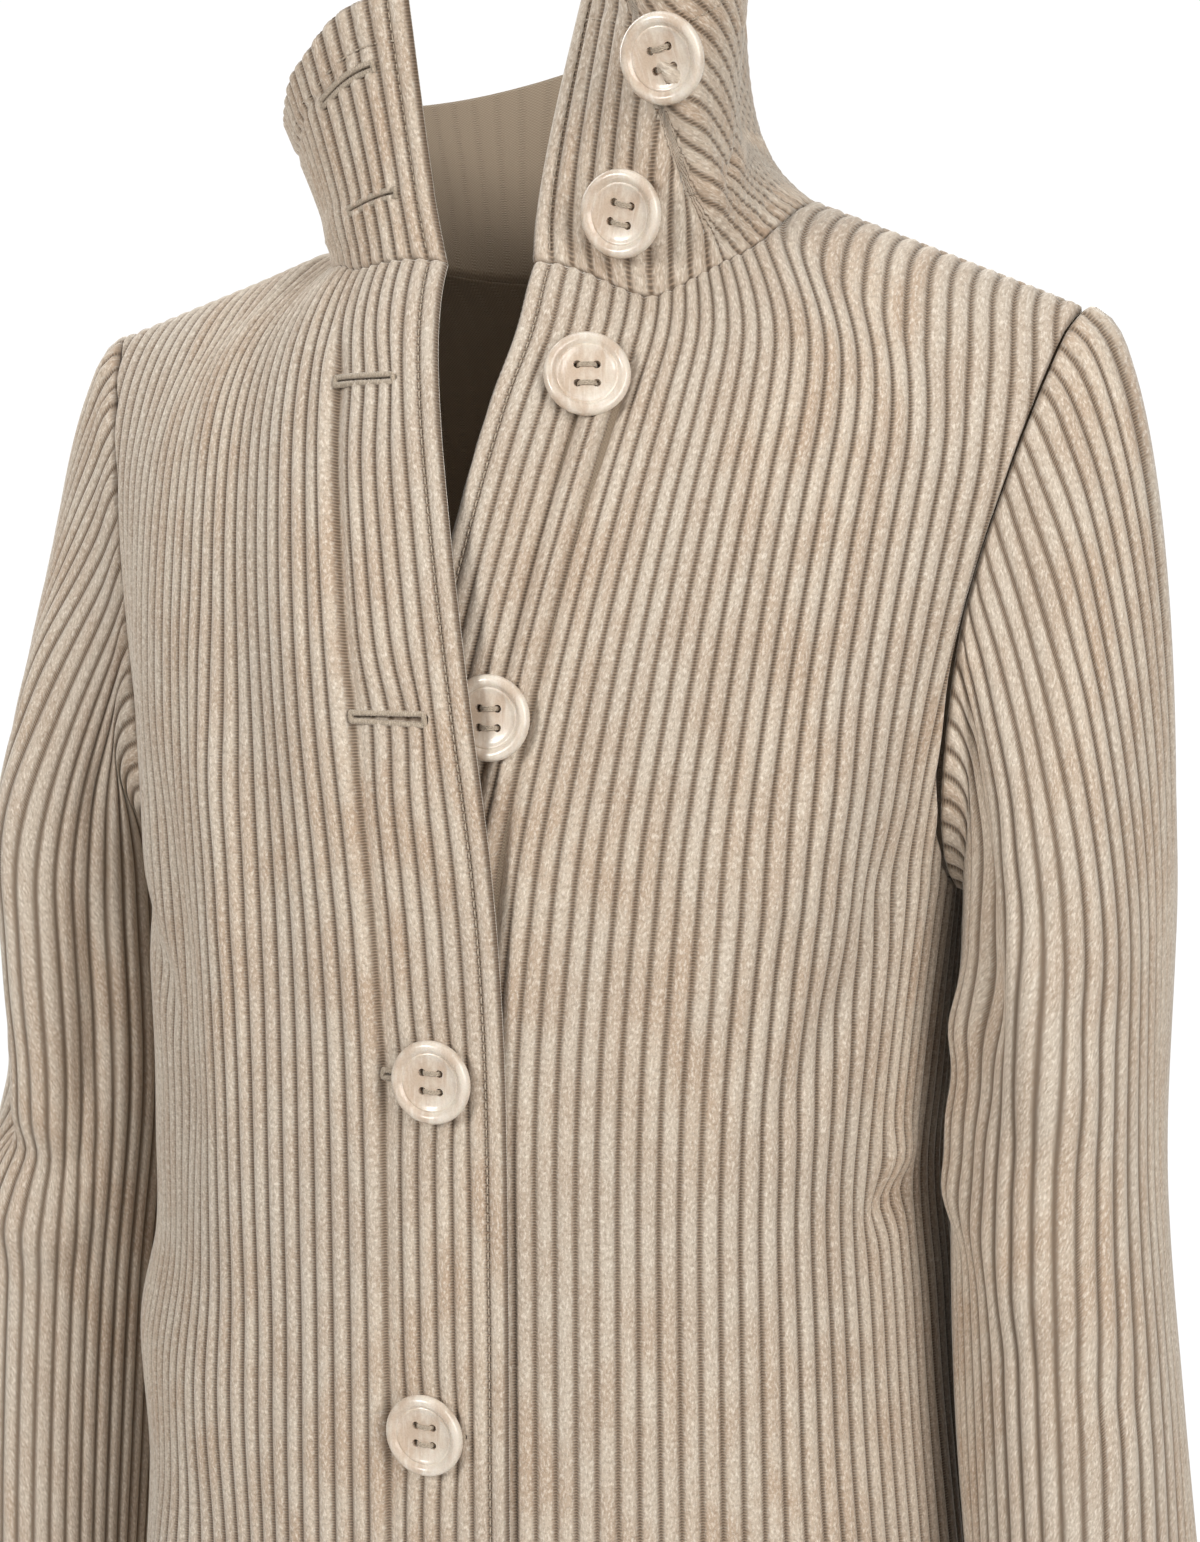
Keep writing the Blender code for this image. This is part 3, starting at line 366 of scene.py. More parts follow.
def armhole_lower(inner, seam, turn):
    """Sigma on the armhole, from its innermost place (turn 0) to the underarm (a quarter turn)."""
    return seam - (seam - inner) * np.cos(turn)


def armhole_curve(side, part, count=160):
    inner, middle = ARMHOLES[part]
    t = np.arange(count) / count
    turn = math.pi / 2 * np.arange(count + 1) / count
    sigma = np.append(armhole_upper(inner, t), armhole_lower(inner, side_seam(side, part), turn))
    return sigma, np.append(middle * t, middle + (1.0 - middle) * np.sin(turn))


# ---------------------------------------------------------------- folds
def stroke_field(strokes, u, v):
    """Height of listed creases. columns: u0, v0, u1, v1, bow, half_width, height, near_fade, far_fade."""
    total = np.zeros(np.shape(u))
    for u0, v0, u1, v1, bow, half_width, height, fade0, fade1 in strokes:
        run = np.array((u1 - u0, v1 - v0))
        long = float(np.hypot(*run))
        run /= long
        t = ((u - u0) * run[0] + (v - v0) * run[1]) / long
        off = (u - u0) * run[1] - (v - v0) * run[0]
        off = off - bow * 4.0 * t.clip(0, 1) * (1.0 - t.clip(0, 1))
        ends = smooth(t / fade0) * smooth((1.0 - t) / fade1)
        uneven = 1.0 + 0.22 * np.sin(9.0 * t + 40.0 * u0) + 0.12 * np.sin(23.0 * t + 17.0 * v0)
        total += height * uneven * ends * np.exp(-(off / half_width) ** 2)
    return total


def drape(u, v, seed, size):
    """Soft uneven hang of the cloth: long shallow waves, mostly upright."""
    rng = np.random.default_rng(seed)
    total = np.zeros(np.shape(u))
    for _ in range(7):
        wide, tall = rng.uniform(0.05, 0.16), rng.uniform(0.25, 0.9)
        turn, lean = rng.uniform(0, 2 * math.pi), rng.choice((-1.0, 1.0))
        total += np.sin(2 * math.pi * (u / wide + lean * v / tall) + turn) * wide
    return total * size


# ---------------------------------------------------------------- grids and shells
def placed_columns(wanted, must, least):
    """Sorted column places: all of must, and of wanted those no nearer than least to one of them."""
    kept = [c for c in wanted if min(abs(c - m) for m in must) > least]
    return np.array(sorted(set(kept) | set(must)))


def row_levels(points_of, start, stop, rows):
    """Levels of rows between start and stop (arrays by column), even by the cloth's own length.

    The rows next to both ends lie NEAR_EDGE from them.
    """
    fine = np.linspace(0.0, 1.0, 121)[:, None] ** 1.6
    level = start + (stop - start) * fine
    points = points_of(level)
    arc = run_length(points)
    near = np.array(NEAR_EDGE)
    whole = arc[-1]
    packed = np.minimum(1.0, whole / (6.0 * near[-1]))
    middle = np.linspace(0.0, 1.0, rows + 2)[1:-1]
    result = np.empty((rows + 2 * len(near), len(whole)))
    for c in range(len(whole)):
        head = near * packed[c]
        rest = head[-1] + (whole[c] - 2 * head[-1]) * middle
        places = np.concatenate([head, rest, (whole[c] - head)[::-1]])
        result[:, c] = np.interp(places, arc[:, c], level[:, c])
        result[0, c], result[-1, c] = start[c], stop[c]
    return result


def coarse_places(count, step, must):
    return np.array(sorted(set(range(0, count, step)) | {count - 1} | set(must)))


def bridge(fine, coarse, marks):
    """Triangles between a chain of vertices and a coarser one beside it; marks index the fine one."""
    faces = []
    i = j = 0
    while i < len(fine) - 1 or j < len(coarse) - 1:
        take_fine = j == len(coarse) - 1
        if not take_fine and i < len(fine) - 1:
            take_fine = i + 0.5 < (marks[j] + marks[j + 1]) / 2
        if take_fine:
            faces.append((fine[i], fine[i + 1], coarse[j]))
            i += 1
        else:
            faces.append((fine[i], coarse[j + 1], coarse[j]))
            j += 1
    return faces


def welded_object(name, mesh, material, near, outwards=False):
    """Smooth object of a mesh, with its points closer than near joined."""
    work = bmesh.new()
    work.from_mesh(mesh)
    bmesh.ops.remove_doubles(work, verts=work.verts, dist=near)
    bmesh.ops.recalc_face_normals(work, faces=work.faces)
    if outwards and work.calc_volume(signed=True) < 0:
        bmesh.ops.reverse_faces(work, faces=work.faces)
    for face in work.faces:
        face.smooth = True
    work.to_mesh(mesh)
    work.free()
    mesh.materials.append(material)
    return linked(bpy.data.objects.new(name, mesh))


class Shell:
    """Gathers grid blocks of one cloth piece: a fine outer skin, a coarse inner one, and rims."""

    def __init__(self, name):
        self.name = name
        self.points, self.data, self.quads, self.triangles = [], [], [], []
        self.count = 0

    def take(self, points, data):
        start = self.count
        self.points.append(points.reshape(-1, 3))
        self.data.append(data.reshape(-1, 4))
        self.count += len(self.points[-1])
        return start

    def block(self, outer, inner, phase, along, edge, coarse_rows, coarse_columns, rims, wrap=False):
        """outer, inner: rows x columns x 3; phase, along, edge: rows x columns; rims: sides to close."""
        rows, columns = outer.shape[:2]
        data = np.stack([phase, along, edge, np.zeros_like(edge)], axis=-1)
        ids = self.take(outer, data) + np.arange(rows * columns).reshape(rows, columns)
        picked = np.ix_(coarse_rows, coarse_columns)
        inside = data[picked].copy()
        inside[..., 3] = 1.0
        low = (self.take(inner[picked], inside)
               + np.arange(len(coarse_rows) * len(coarse_columns)).reshape(len(coarse_rows), -1))
        for grid in (ids, low):
            if wrap:
                grid = np.hstack([grid, grid[:, :1]])
            quads = np.stack([grid[:-1, :-1], grid[1:, :-1], grid[1:, 1:], grid[:-1, 1:]], axis=-1)
            self.quads.append(quads.reshape(-1, 4))
        chains = {
            "top": (ids[0], low[0], coarse_columns),
            "bottom": (ids[-1], low[-1], coarse_columns),
            "near": (ids[:, 0], low[:, 0], coarse_rows),
            "far": (ids[:, -1], low[:, -1], coarse_rows),
        }
        for rim in rims:
            fine, coarse, marks = chains[rim]
            if wrap:
                fine, coarse = np.append(fine, fine[0]), np.append(coarse, coarse[0])
                marks = np.append(marks, len(fine) - 1)
            self.triangles += bridge(list(fine), list(coarse), list(marks))

    def cloth(self, points, normals, phase, along, seam_far, edge_far, pressed, opened, *marks, **options):
        """A block from the cloth's inside: the pile's thickness is laid on it along its normals."""
        thick = pile(phase, pressed, seam_far, edge_far) * (1.0 - SLIT_DEPTH * opened)
        # distance to the nearest seam or edge, 0 in an open buttonhole; the material paints shade where it is
        # small
        edge = np.minimum(np.minimum(seam_far, edge_far), EDGE_FAR) * (1.0 - opened)
        self.block(points + normals * thick[..., None], points, phase, along, edge, *marks, **options)

    def build(self, material):
        faces = np.vstack(self.quads).tolist() + [tuple(int(i) for i in t) for t in self.triangles]
        mesh = bpy.data.meshes.new(self.name)
        mesh.from_pydata(np.vstack(self.points).tolist(), [], faces)
        corners = np.empty(len(mesh.loops), np.int32)
        mesh.loops.foreach_get("vertex_index", corners)
        values = np.vstack(self.data)[corners]
        sizes = np.empty(len(mesh.polygons), np.int32)
        mesh.polygons.foreach_get("loop_total", sizes)
        owner = np.repeat(np.arange(len(sizes)), sizes)
        highest = np.maximum.reduceat(values[:, 0], np.concatenate([[0], np.cumsum(sizes)[:-1]]))
        # across the line where a tube's wale count starts again, the low corners go on counting
        jump = highest[owner] - values[:, 0] > SLEEVE_WALES / 2
        values[jump, 0] += SLEEVE_WALES
        place = mesh.attributes.new("cloth", "FLOAT_VECTOR", "CORNER")
        place.data.foreach_set("vector", np.ascontiguousarray(values[:, :3], np.float32).ravel())
        inner = mesh.attributes.new("inner", "FLOAT", "CORNER")
        inner.data.foreach_set("value", np.ascontiguousarray(values[:, 3], np.float32))
        return welded_object(self.name, mesh, material, 2e-6, outwards=True)


def edge_distance(points, edge_points, far=EDGE_FAR):
    """Distance from each point to the nearest of a dense line of edge points, up to far."""
    tree = kdtree.KDTree(len(edge_points))
    for i, p in enumerate(edge_points):
        tree.insert(p, i)
    tree.balance()
    found = np.array([tree.find(p)[2] for p in points.reshape(-1, 3)])
    return np.minimum(found, far).reshape(points.shape[:-1])


def resample(points, step=SEAM_STEP):
    arc = run_length(points)
    return at_places(np.linspace(0, arc[-1], max(2, int(arc[-1] / step))), arc, points)


def rolled(distance, radius):
    """Share of the cloth's thickness left near an edge that rounds over: 1 away from it."""
    t = np.clip(distance / radius, 0.0, 1.0)
    return 0.30 + 0.70 * np.sqrt(1.0 - (1.0 - t) ** 2)


def rib(phase):
    share = phase % 1.0
    return PILE_HEIGHT * (1.0 - np.abs(2.0 * share - 1.0) ** RIB_POWER)


def channel(distance, centre, half_width):
    """1 on a stitched line a set distance from an edge, 0 beside it."""
    return np.exp(-((distance - centre) / half_width) ** 2)


def pile(phase, pressed, seam_far, edge_far):
    """Thickness of the cloth: ribbed, pressed down by stitches, flat in a seam, rolled at its edges."""
    flat = smooth(1.2 - seam_far / SEAM_FLAT)
    thick = GROOVE_WALL + rib(phase) * (1.0 - pressed) * (1.0 - flat) + SEAM_RIB * flat
    return thick * rolled(seam_far, SEAM_ROLL) * rolled(edge_far, EDGE_ROLL)


def slit(across_share, height_share):
    """1 inside an open buttonhole and 0 outside it, by shares of its half length and gape."""
    return np.where(np.abs(across_share) < 1.0, smooth(1.6 - np.abs(height_share)), 0.0)


# ---------------------------------------------------------------- fronts and back
# columns: u0, z0, u1, z1, bow, half_width, height, near_fade, far_fade
FRONT_RIGHT_FOLDS = (
    (0.0115, -0.045, 0.0115, -0.80, 0.000, 0.0030, -0.0024, 0.03, 0.02),
    (0.0190, -0.045, 0.0190, -0.80, 0.000, 0.0050, 0.0012, 0.03, 0.02),
    (0.105, -0.130, 0.085, -0.330, 0.012, 0.016, 0.0030, 0.40, 0.45),
    (0.140, -0.180, 0.120, -0.400, 0.010, 0.014, -0.0030, 0.40, 0.45),
    (0.190, -0.265, 0.120, -0.330, 0.010, 0.011, -0.0035, 0.25, 0.60),
    (0.070, -0.420, 0.055, -0.760, 0.010, 0.020, 0.0035, 0.35, 0.10),
    (0.140, -0.470, 0.150, -0.790, 0.010, 0.022, 0.0040, 0.35, 0.10),
    (0.105, -0.450, 0.100, -0.790, 0.005, 0.018, -0.0035, 0.35, 0.10),
)
FRONT_LEFT_FOLDS = (
    (0.0140, -0.055, 0.0140, -0.330, 0.000, 0.0040, 0.0018, 0.06, 0.10),
    (0.0212, -0.055, 0.0212, -0.330, 0.000, 0.0030, -0.0028, 0.06, 0.10),
    (0.0066, -0.055, 0.0066, -0.330, 0.000, 0.0030, -0.0024, 0.06, 0.10),
    (0.150, -0.170, 0.070, -0.320, -0.010, 0.016, 0.0035, 0.35, 0.50),
    (0.178, -0.215, 0.110, -0.350, -0.008, 0.012, -0.0040, 0.25, 0.50),
    (0.212, -0.364, 0.165, -0.372, 0.000, 0.008, -0.0040, 0.20, 0.60),
    (0.212, -0.352, 0.170, -0.345, 0.000, 0.009, 0.0030, 0.20, 0.60),
    (0.080, -0.400, 0.070, -0.780, 0.010, 0.020, 0.0030, 0.35, 0.10),
    (0.150, -0.440, 0.160, -0.790, 0.010, 0.022, 0.0040, 0.35, 0.10),
    (0.115, -0.430, 0.115, -0.790, 0.005, 0.018, -0.0035, 0.35, 0.10),
)
BACK_FOLDS = (
    (-0.165, -0.150, -0.110, -0.330, 0.010, 0.016, 0.0030, 0.35, 0.50),
    (0.165, -0.150, 0.110, -0.330, -0.010, 0.016, 0.0030, 0.35, 0.50),
    (-0.190, -0.210, -0.130, -0.350, 0.010, 0.013, -0.0040, 0.25, 0.50),
    (0.190, -0.210, 0.130, -0.350, -0.010, 0.013, -0.0040, 0.25, 0.50),
    (-0.100, -0.370, -0.110, -0.790, 0.008, 0.024, 0.0040, 0.35, 0.10),
    (0.095, -0.370, 0.105, -0.790, 0.008, 0.024, 0.0040, 0.35, 0.10),
    (0.000, -0.300, 0.005, -0.790, 0.008, 0.030, 0.0035, 0.35, 0.10),
    (-0.050, -0.380, -0.055, -0.790, 0.004, 0.020, -0.0035, 0.35, 0.10),
    (0.050, -0.380, 0.055, -0.790, 0.004, 0.020, -0.0035, 0.35, 0.10),
    (-0.150, -0.400, -0.165, -0.790, 0.004, 0.020, -0.0030, 0.35, 0.10),
    (0.150, -0.400, 0.165, -0.790, 0.004, 0.020, -0.0030, 0.35, 0.10),
)


def front_phase(side, sigma):
    """Count of wales from the front edge: closer on the strip."""
    inset = sigma - panel_start(side, "front")
    return np.where(inset < STRIP, inset / STRIP_WALE, STRIP / STRIP_WALE + (inset - STRIP) / WALE)


def front_sigma(side, phase):
    turn = STRIP / STRIP_WALE
    inset = np.where(phase < turn, phase * STRIP_WALE, STRIP + (phase - turn) * WALE)
    return inset + panel_start(side, "front")


def slit_field(side, part, sigma, z):
    """How far the cloth opens at each buttonhole (0 to 1), and how its wales are drawn aside."""
    opened, drawn = np.zeros(sigma.shape), np.zeros(sigma.shape)
    if side > 0 or part == "back":
        return opened, drawn
    t = (sigma - (RIGHT_EDGE + BUTTONHOLE_INSET)) / (BUTTONHOLE_LENGTH / 2)
    for number, height, _, fastened, _ in FRONT_BUTTONS:
        gape = 0.00055 + (0.0007 if number == 4 else 0.0002) * np.clip(0.6 - t, 0, 1)
        opened = np.maximum(opened, slit(t, (z - height) / gape))
        pull = 0.0030 if not fastened else 0.0018
        reach = np.where(z > height, 0.016, 0.020)
        drawn -= pull * smooth((1.9 - np.abs(t + 0.2)) / 1.4) * np.exp(-((z - height) / reach) ** 2)
    return opened, drawn * smooth((sigma - RIGHT_EDGE - 0.012) / 0.012)


def body_columns(side, part, phases):
    """Places of the grid's columns: the wales' own, and those that the seams and edges need."""
    inner, seam, start = ARMHOLES[part][0], side_seam(side, part), panel_start(side, part)
    wales = [k + p for k in range(int(seam / WALE) + 12) for p in phases]
    places = [float(front_sigma(side, np.float64(c))) if part == "front" else WALE * c for c in wales]
    fixed = (inner, seam, SIGMA_TIP)
    must = [*fixed, *(seam - d for d in NEAR_EDGE[1:])]
    must += [start + d for d in NEAR_EDGE] if part == "front" else [start]
    must += list(armhole_upper(inner, np.array((0.06, 0.14, 0.25, 0.38, 0.52, 0.66, 0.78, 0.88, 0.95))))
    must += list(armhole_lower(inner, seam, np.radians((8, 15, 22, 30))))
    must += list(neck_sigma(side, part, np.array((0.04, 0.08, 0.13, 0.19, 0.26, 0.33))))
    must.sort()
    apart = [must[0]]
    for place in must[1:]:
        if place - apart[-1] > 0.00025 or place in fixed:
            apart.append(place)
    return placed_columns([p for p in places if start < p < seam], apart, 0.00035)


def lay_body(shell, side, part, folds, phases, row_counts, seed):
    """Adds one front, or one half of the back, to its shell as three blocks."""
    inner, middle = ARMHOLES[part]
    seam, start, front = side_seam(side, part), panel_start(side, part), part == "front"
    columns = body_columns(side, part, phases)
    index_inner = int(np.argmin(np.abs(columns - inner)))
    index_tip = int(np.argmin(np.abs(columns - SIGMA_TIP)))

    def line(sigma, level, step=SEAM_STEP):
        return resample(body_points(side, part, sigma, level), step)

    neck_sigmas, neck_levels = neck_curve(side, part, start)
    sewn = np.vstack([
        line(neck_sigmas, neck_levels),
        line(np.linspace(neck_sigmas[-1], SIGMA_TIP, 60), 0.0),
        line(*armhole_curve(side, part)),
        line(seam, np.linspace(1.0, 2.0, 120), 2 * SEAM_STEP),
    ])
    finished = [line(np.linspace(columns[0], seam, 200), 2.0, 2 * SEAM_STEP)]
    if front:
        finished.append(line(start, np.linspace(neck_levels[0], 2.0, 300), 2 * SEAM_STEP))
    finished = np.vstack(finished)
    sign = -1.0 if part == "back" and side < 0 else 1.0

    def lay(which, level, coarse_rows, coarse_columns, rims):
        sigma = columns[which][None, :] + 0 * level
        points, normals = body_frames(side, part, sigma, level)
        z = points[..., 2].copy()
        opened, drawn = slit_field(side, part, sigma, z)
        if front and side < 0:
            points, normals = body_frames(side, part, sigma + drawn, level)
        seam_far, edge_far = edge_distance(points, sewn), edge_distance(points, finished)
        inset = sigma - columns[0]
        free = smooth(seam_far / FREE_WITHIN)
        fold = stroke_field(folds, sigma * sign, z) * free
        hang = drape(sigma * sign, z, seed, BODY_HANG) * smooth((-z - 0.05) / 0.25) * free
        phase = sigma * sign / WALE
        stitched = channel(z, Z_HEM + HEM_DEPTH, STITCH_GROOVE)
        if front:
            hang = hang * smooth((inset - 0.05) / 0.06)
            phase = front_phase(side, sigma)
            stitched = np.maximum(stitched, channel(inset, STITCH_INSET, 0.0011))
        points = points + normals * (fold + hang)[..., None]
        shell.cloth(points, normals, phase, z, seam_far, edge_far, STITCH_PRESS * stitched, opened,
                    coarse_rows, coarse_columns, rims)

    def rows_between(which, first, last, count):
        return row_levels(lambda v: body_points(side, part, columns[which], v), first, last, count)

    n1, n2, n3, n4, n5 = row_counts
    main = np.arange(index_inner + 1)
    tip = np.arange(index_inner, index_tip + 1)
    flank = np.arange(index_inner, len(columns))
    top = neck_level(side, part, columns[main])
    turn = np.arccos(np.clip((seam - columns[flank]) / (seam - inner), 0, 1))
    lower = middle + (1.0 - middle) * np.sin(turn)
    share = np.arccos(np.clip((columns[tip] - inner) / (SIGMA_TIP - inner) * 2.0 - 1.0, -1, 1)) / math.pi
    upper = middle * share
    lower[0] = upper[0] = middle
    # rows are closest at the heights of the two open buttonholes
    knot_3 = min(level_at(FRONT_BUTTONS[0][1]), middle - 0.05)
    knot_4 = level_at(FRONT_BUTTONS[1][1])
    even = np.ones(len(main))
    skirt = Z_CHEST - Z_HEM
    low_levels = list(np.linspace(1.0, 2.0, n5 + 2)[1:-1])
    low_levels += [1.0 + d / skirt for d in NEAR_EDGE] + [2.0 - d / skirt for d in NEAR_EDGE]
    low_levels += [2.0 - (HEM_DEPTH + d) / skirt for d in HEM_ROWS]
    if front and side < 0:
        low_levels += [level_at(height) + d / skirt for _, height, _, fastened, _ in FRONT_BUTTONS if fastened
                       for d in (-0.002, *SLIT_ROWS, 0.002)]
    low_levels = np.array(sorted(set(np.round(low_levels, 7))))
    main_rows = [
        rows_between(main, top, even * knot_3, n1),
        rows_between(main, even * knot_3, even * middle, n2),
        rows_between(main, even * middle, even * knot_4, n3),
        rows_between(main, even * knot_4, even, n4),
        low_levels[:, None] * even,
    ]
    knot_flank = lower + (1.0 - lower) * (knot_4 - middle) / (1.0 - middle)
    flank_rows = [
        rows_between(flank, lower, knot_flank, n3),
        rows_between(flank, knot_flank, np.ones(len(flank)), n4),
        low_levels[:, None] * np.ones(len(flank)),
    ]
    tip_rows = [
        rows_between(tip, 0.0 * upper, upper * knot_3 / middle, n1),
        rows_between(tip, upper * knot_3 / middle, upper, n2),
    ]

    def stacked(groups):
        return np.vstack([groups[0]] + [g[1:] for g in groups[1:]])

    def starts(groups):
        return [0, *np.cumsum([len(g) - 1 for g in groups])]

    main_levels, flank_levels, tip_levels = stacked(main_rows), stacked(flank_rows), stacked(tip_rows)
    split = starts(main_rows)[2]
    upper_coarse = coarse_places(split + 1, 3, starts(tip_rows))
    lower_coarse = coarse_places(len(flank_levels), 3, starts(flank_rows))
    main_coarse = np.array(sorted(set(upper_coarse) | set(lower_coarse + split)))
    lay(main, main_levels, main_coarse, coarse_places(len(main), len(phases), [0]),
        ["top", "bottom"] + (["near"] if front else []))
    lay(tip, tip_levels, upper_coarse, coarse_places(len(tip), 3, [0]), ["top", "bottom"])
    lay(flank, flank_levels, lower_coarse,
        coarse_places(len(flank), len(phases), [0, index_tip - index_inner]), ["top", "bottom", "far"])


# ---------------------------------------------------------------- sleeves
SLEEVE_LEFT_FOLDS = (
    (-0.116, -0.150, -0.098, -0.340, 0.006, 0.010, -0.0065, 0.25, 0.35),
    (-0.084, -0.190, -0.072, -0.370, 0.008, 0.012, 0.0030, 0.30, 0.40),
    (-0.030, -0.080, -0.060, -0.230, 0.010, 0.012, 0.0025, 0.30, 0.50),
    (-0.060, -0.120, -0.080, -0.300, 0.010, 0.010, -0.0030, 0.30, 0.50),
    (-0.100, -0.180, -0.050, -0.330, 0.012, 0.012, -0.0035, 0.30, 0.50),
    (-0.136, -0.270, -0.134, -0.390, 0.004, 0.014, 0.0100, 0.30, 0.30),
    (-0.125, -0.300, -0.050, -0.350, 0.010, 0.012, -0.0022, 0.30, 0.60),
    (-0.130, -0.350, -0.050, -0.405, 0.010, 0.014, 0.0022, 0.30, 0.60),
    (-0.110, -0.410, -0.030, -0.450, -0.008, 0.012, -0.0018, 0.30, 0.60),
    (0.030, -0.330, 0.110, -0.370, 0.010, 0.014, -0.0040, 0.30, 0.40),
    (0.030, -0.390, 0.120, -0.430, 0.010, 0.014, 0.0040, 0.30, 0.40),
    (-0.080, -0.500, 0.020, -0.530, 0.008, 0.012, -0.0018, 0.30, 0.40),
)
SLEEVE_RIGHT_FOLDS = (
    (-0.112, -0.180, -0.104, -0.420, 0.006, 0.010, -0.0060, 0.25, 0.35),
    (-0.052, -0.120, -0.088, -0.400, 0.010, 0.013, 0.0050, 0.25, 0.30),
    (-0.024, -0.160, -0.055, -0.420, 0.010, 0.015, -0.0085, 0.30, 0.30),
    (0.012, -0.180, -0.015, -0.460, 0.010, 0.016, 0.0040, 0.30, 0.35),
    (-0.120, -0.395, -0.020, -0.350, 0.010, 0.010, -0.0060, 0.25, 0.40),
    (-0.120, -0.425, -0.010, -0.385, 0.010, 0.013, 0.0050, 0.25, 0.40),
    (0.030, -0.330, 0.110, -0.370, 0.010, 0.014, -0.0040, 0.30, 0.40),
    (0.030, -0.390, 0.120, -0.430, 0.010, 0.014, 0.0040, 0.30, 0.40),
    (-0.080, -0.500, 0.020, -0.530, 0.008, 0.012, -0.0030, 0.30, 0.40),
)


def armhole_stations(side):
    """By part: arc length from the shoulder tip, and point, normal, down and away there."""
    halves = {}
    for part in ("front", "back"):
        sigma, level = armhole_curve(side, part)
        points, normals = body_frames(side, part, sigma, level)
        down = unit(np.vstack([points[1:], points[-1:]]) - np.vstack([points[:1], points[:-1]]))
        away = turned_to(unit(np.cross(normals, down)), np.array((side, 0.0, 0.8)))
        halves[part] = (run_length(points), np.hstack([points, normals, down, away]))
    return halves


def make_sleeve_surface(side):
    """Inside of a sleeve by sigma round it and level: 0 at the armhole, 1 at the cap's end, 2 at the cuff."""
    table = SLEEVE_LEFT if side > 0 else SLEEVE_RIGHT
    halves = armhole_stations(side)
    half = SLEEVE_WALES * WALE / 2
    z_first, z_last = max(r[0] for r in table), min(r[0] for r in table)

    def ring(sigma, z):
        found = np.empty((*np.shape(sigma), 3))
        for height in np.unique(z):
            at = z == height
            inner, wide, centre_y, deep = (float(table_curve(table, height, c)) for c in (1, 2, 3, 4))
            angle = np.linspace(0.0, math.pi, 121)
            x, y = wide * np.cos(angle), deep * np.sin(angle)
            arc = run_length(np.stack([x, y], axis=-1))
            along = np.abs(sigma[at]) + (arc[-1] - half) * (np.abs(sigma[at]) / half) ** 3
            px, py = np.interp(along, arc, x), np.interp(along, arc, y)
            found[at] = np.stack([side * (inner + wide + px), centre_y + np.copysign(py, sigma[at]),
                                  0 * px + height], axis=-1)
        return found

    def surface(sigma, level):
        sigma, level = np.broadcast_arrays(np.asarray(sigma, float), np.asarray(level, float))
        sigma = (sigma + half) % (2 * half) - half
        share = np.abs(sigma) / half
        bell = share - 0.10 * np.sin(2.0 * math.pi * share) / (2.0 * math.pi)
        rows = np.empty((*sigma.shape, 12))
        for part, chosen in (("front", sigma < 0), ("back", sigma >= 0)):
            arcs, fields = halves[part]
            rows[chosen] = at_places(bell[chosen] * arcs[-1], arcs, fields)
        point, normal, down, away = (rows[..., k:k + 3] for k in (0, 3, 6, 9))
        normal = unit(normal)
        low = smooth((-point[..., 2] - 0.13) / 0.115)
        turn = CAP_LIFT + (UNDERARM_TURN - CAP_LIFT) * low
        leaving = np.cos(turn)[..., None] * away + np.sin(turn)[..., None] * normal
        start = point + leaving * (SEAM + CREST * np.sin(turn))[..., None]
        end = ring(sigma, np.full(sigma.shape, z_first))
        far = np.linalg.norm(end - start, axis=-1)[..., None]
        slant = (0.75 * np.sin(math.pi * np.minimum(share / 0.8, 1.0)))[..., None]
        aim = unit(leaving * (1.0 - 0.45 * slant) + down * slant)
        reach_out = (CAP_REACH + (0.9 - CAP_REACH) * low)[..., None]
        t = np.minimum(level, 1.0)[..., None]
        h00, h10 = 2 * t ** 3 - 3 * t ** 2 + 1, t ** 3 - 2 * t ** 2 + t
        h01, h11 = -2 * t ** 3 + 3 * t ** 2, t ** 3 - t ** 2
        cap = (h00 * start + h10 * far * reach_out * aim + h01 * end
               + h11 * far * 1.2 * np.array((0.0, 0.0, -1.0)))
        lower = level > 1.0
        if lower.any():
            z = np.round(z_first + (level[lower] - 1.0) * (z_last - z_first), 7)
            cap[lower] = ring(sigma[lower], z)
        return cap
    return surface, half


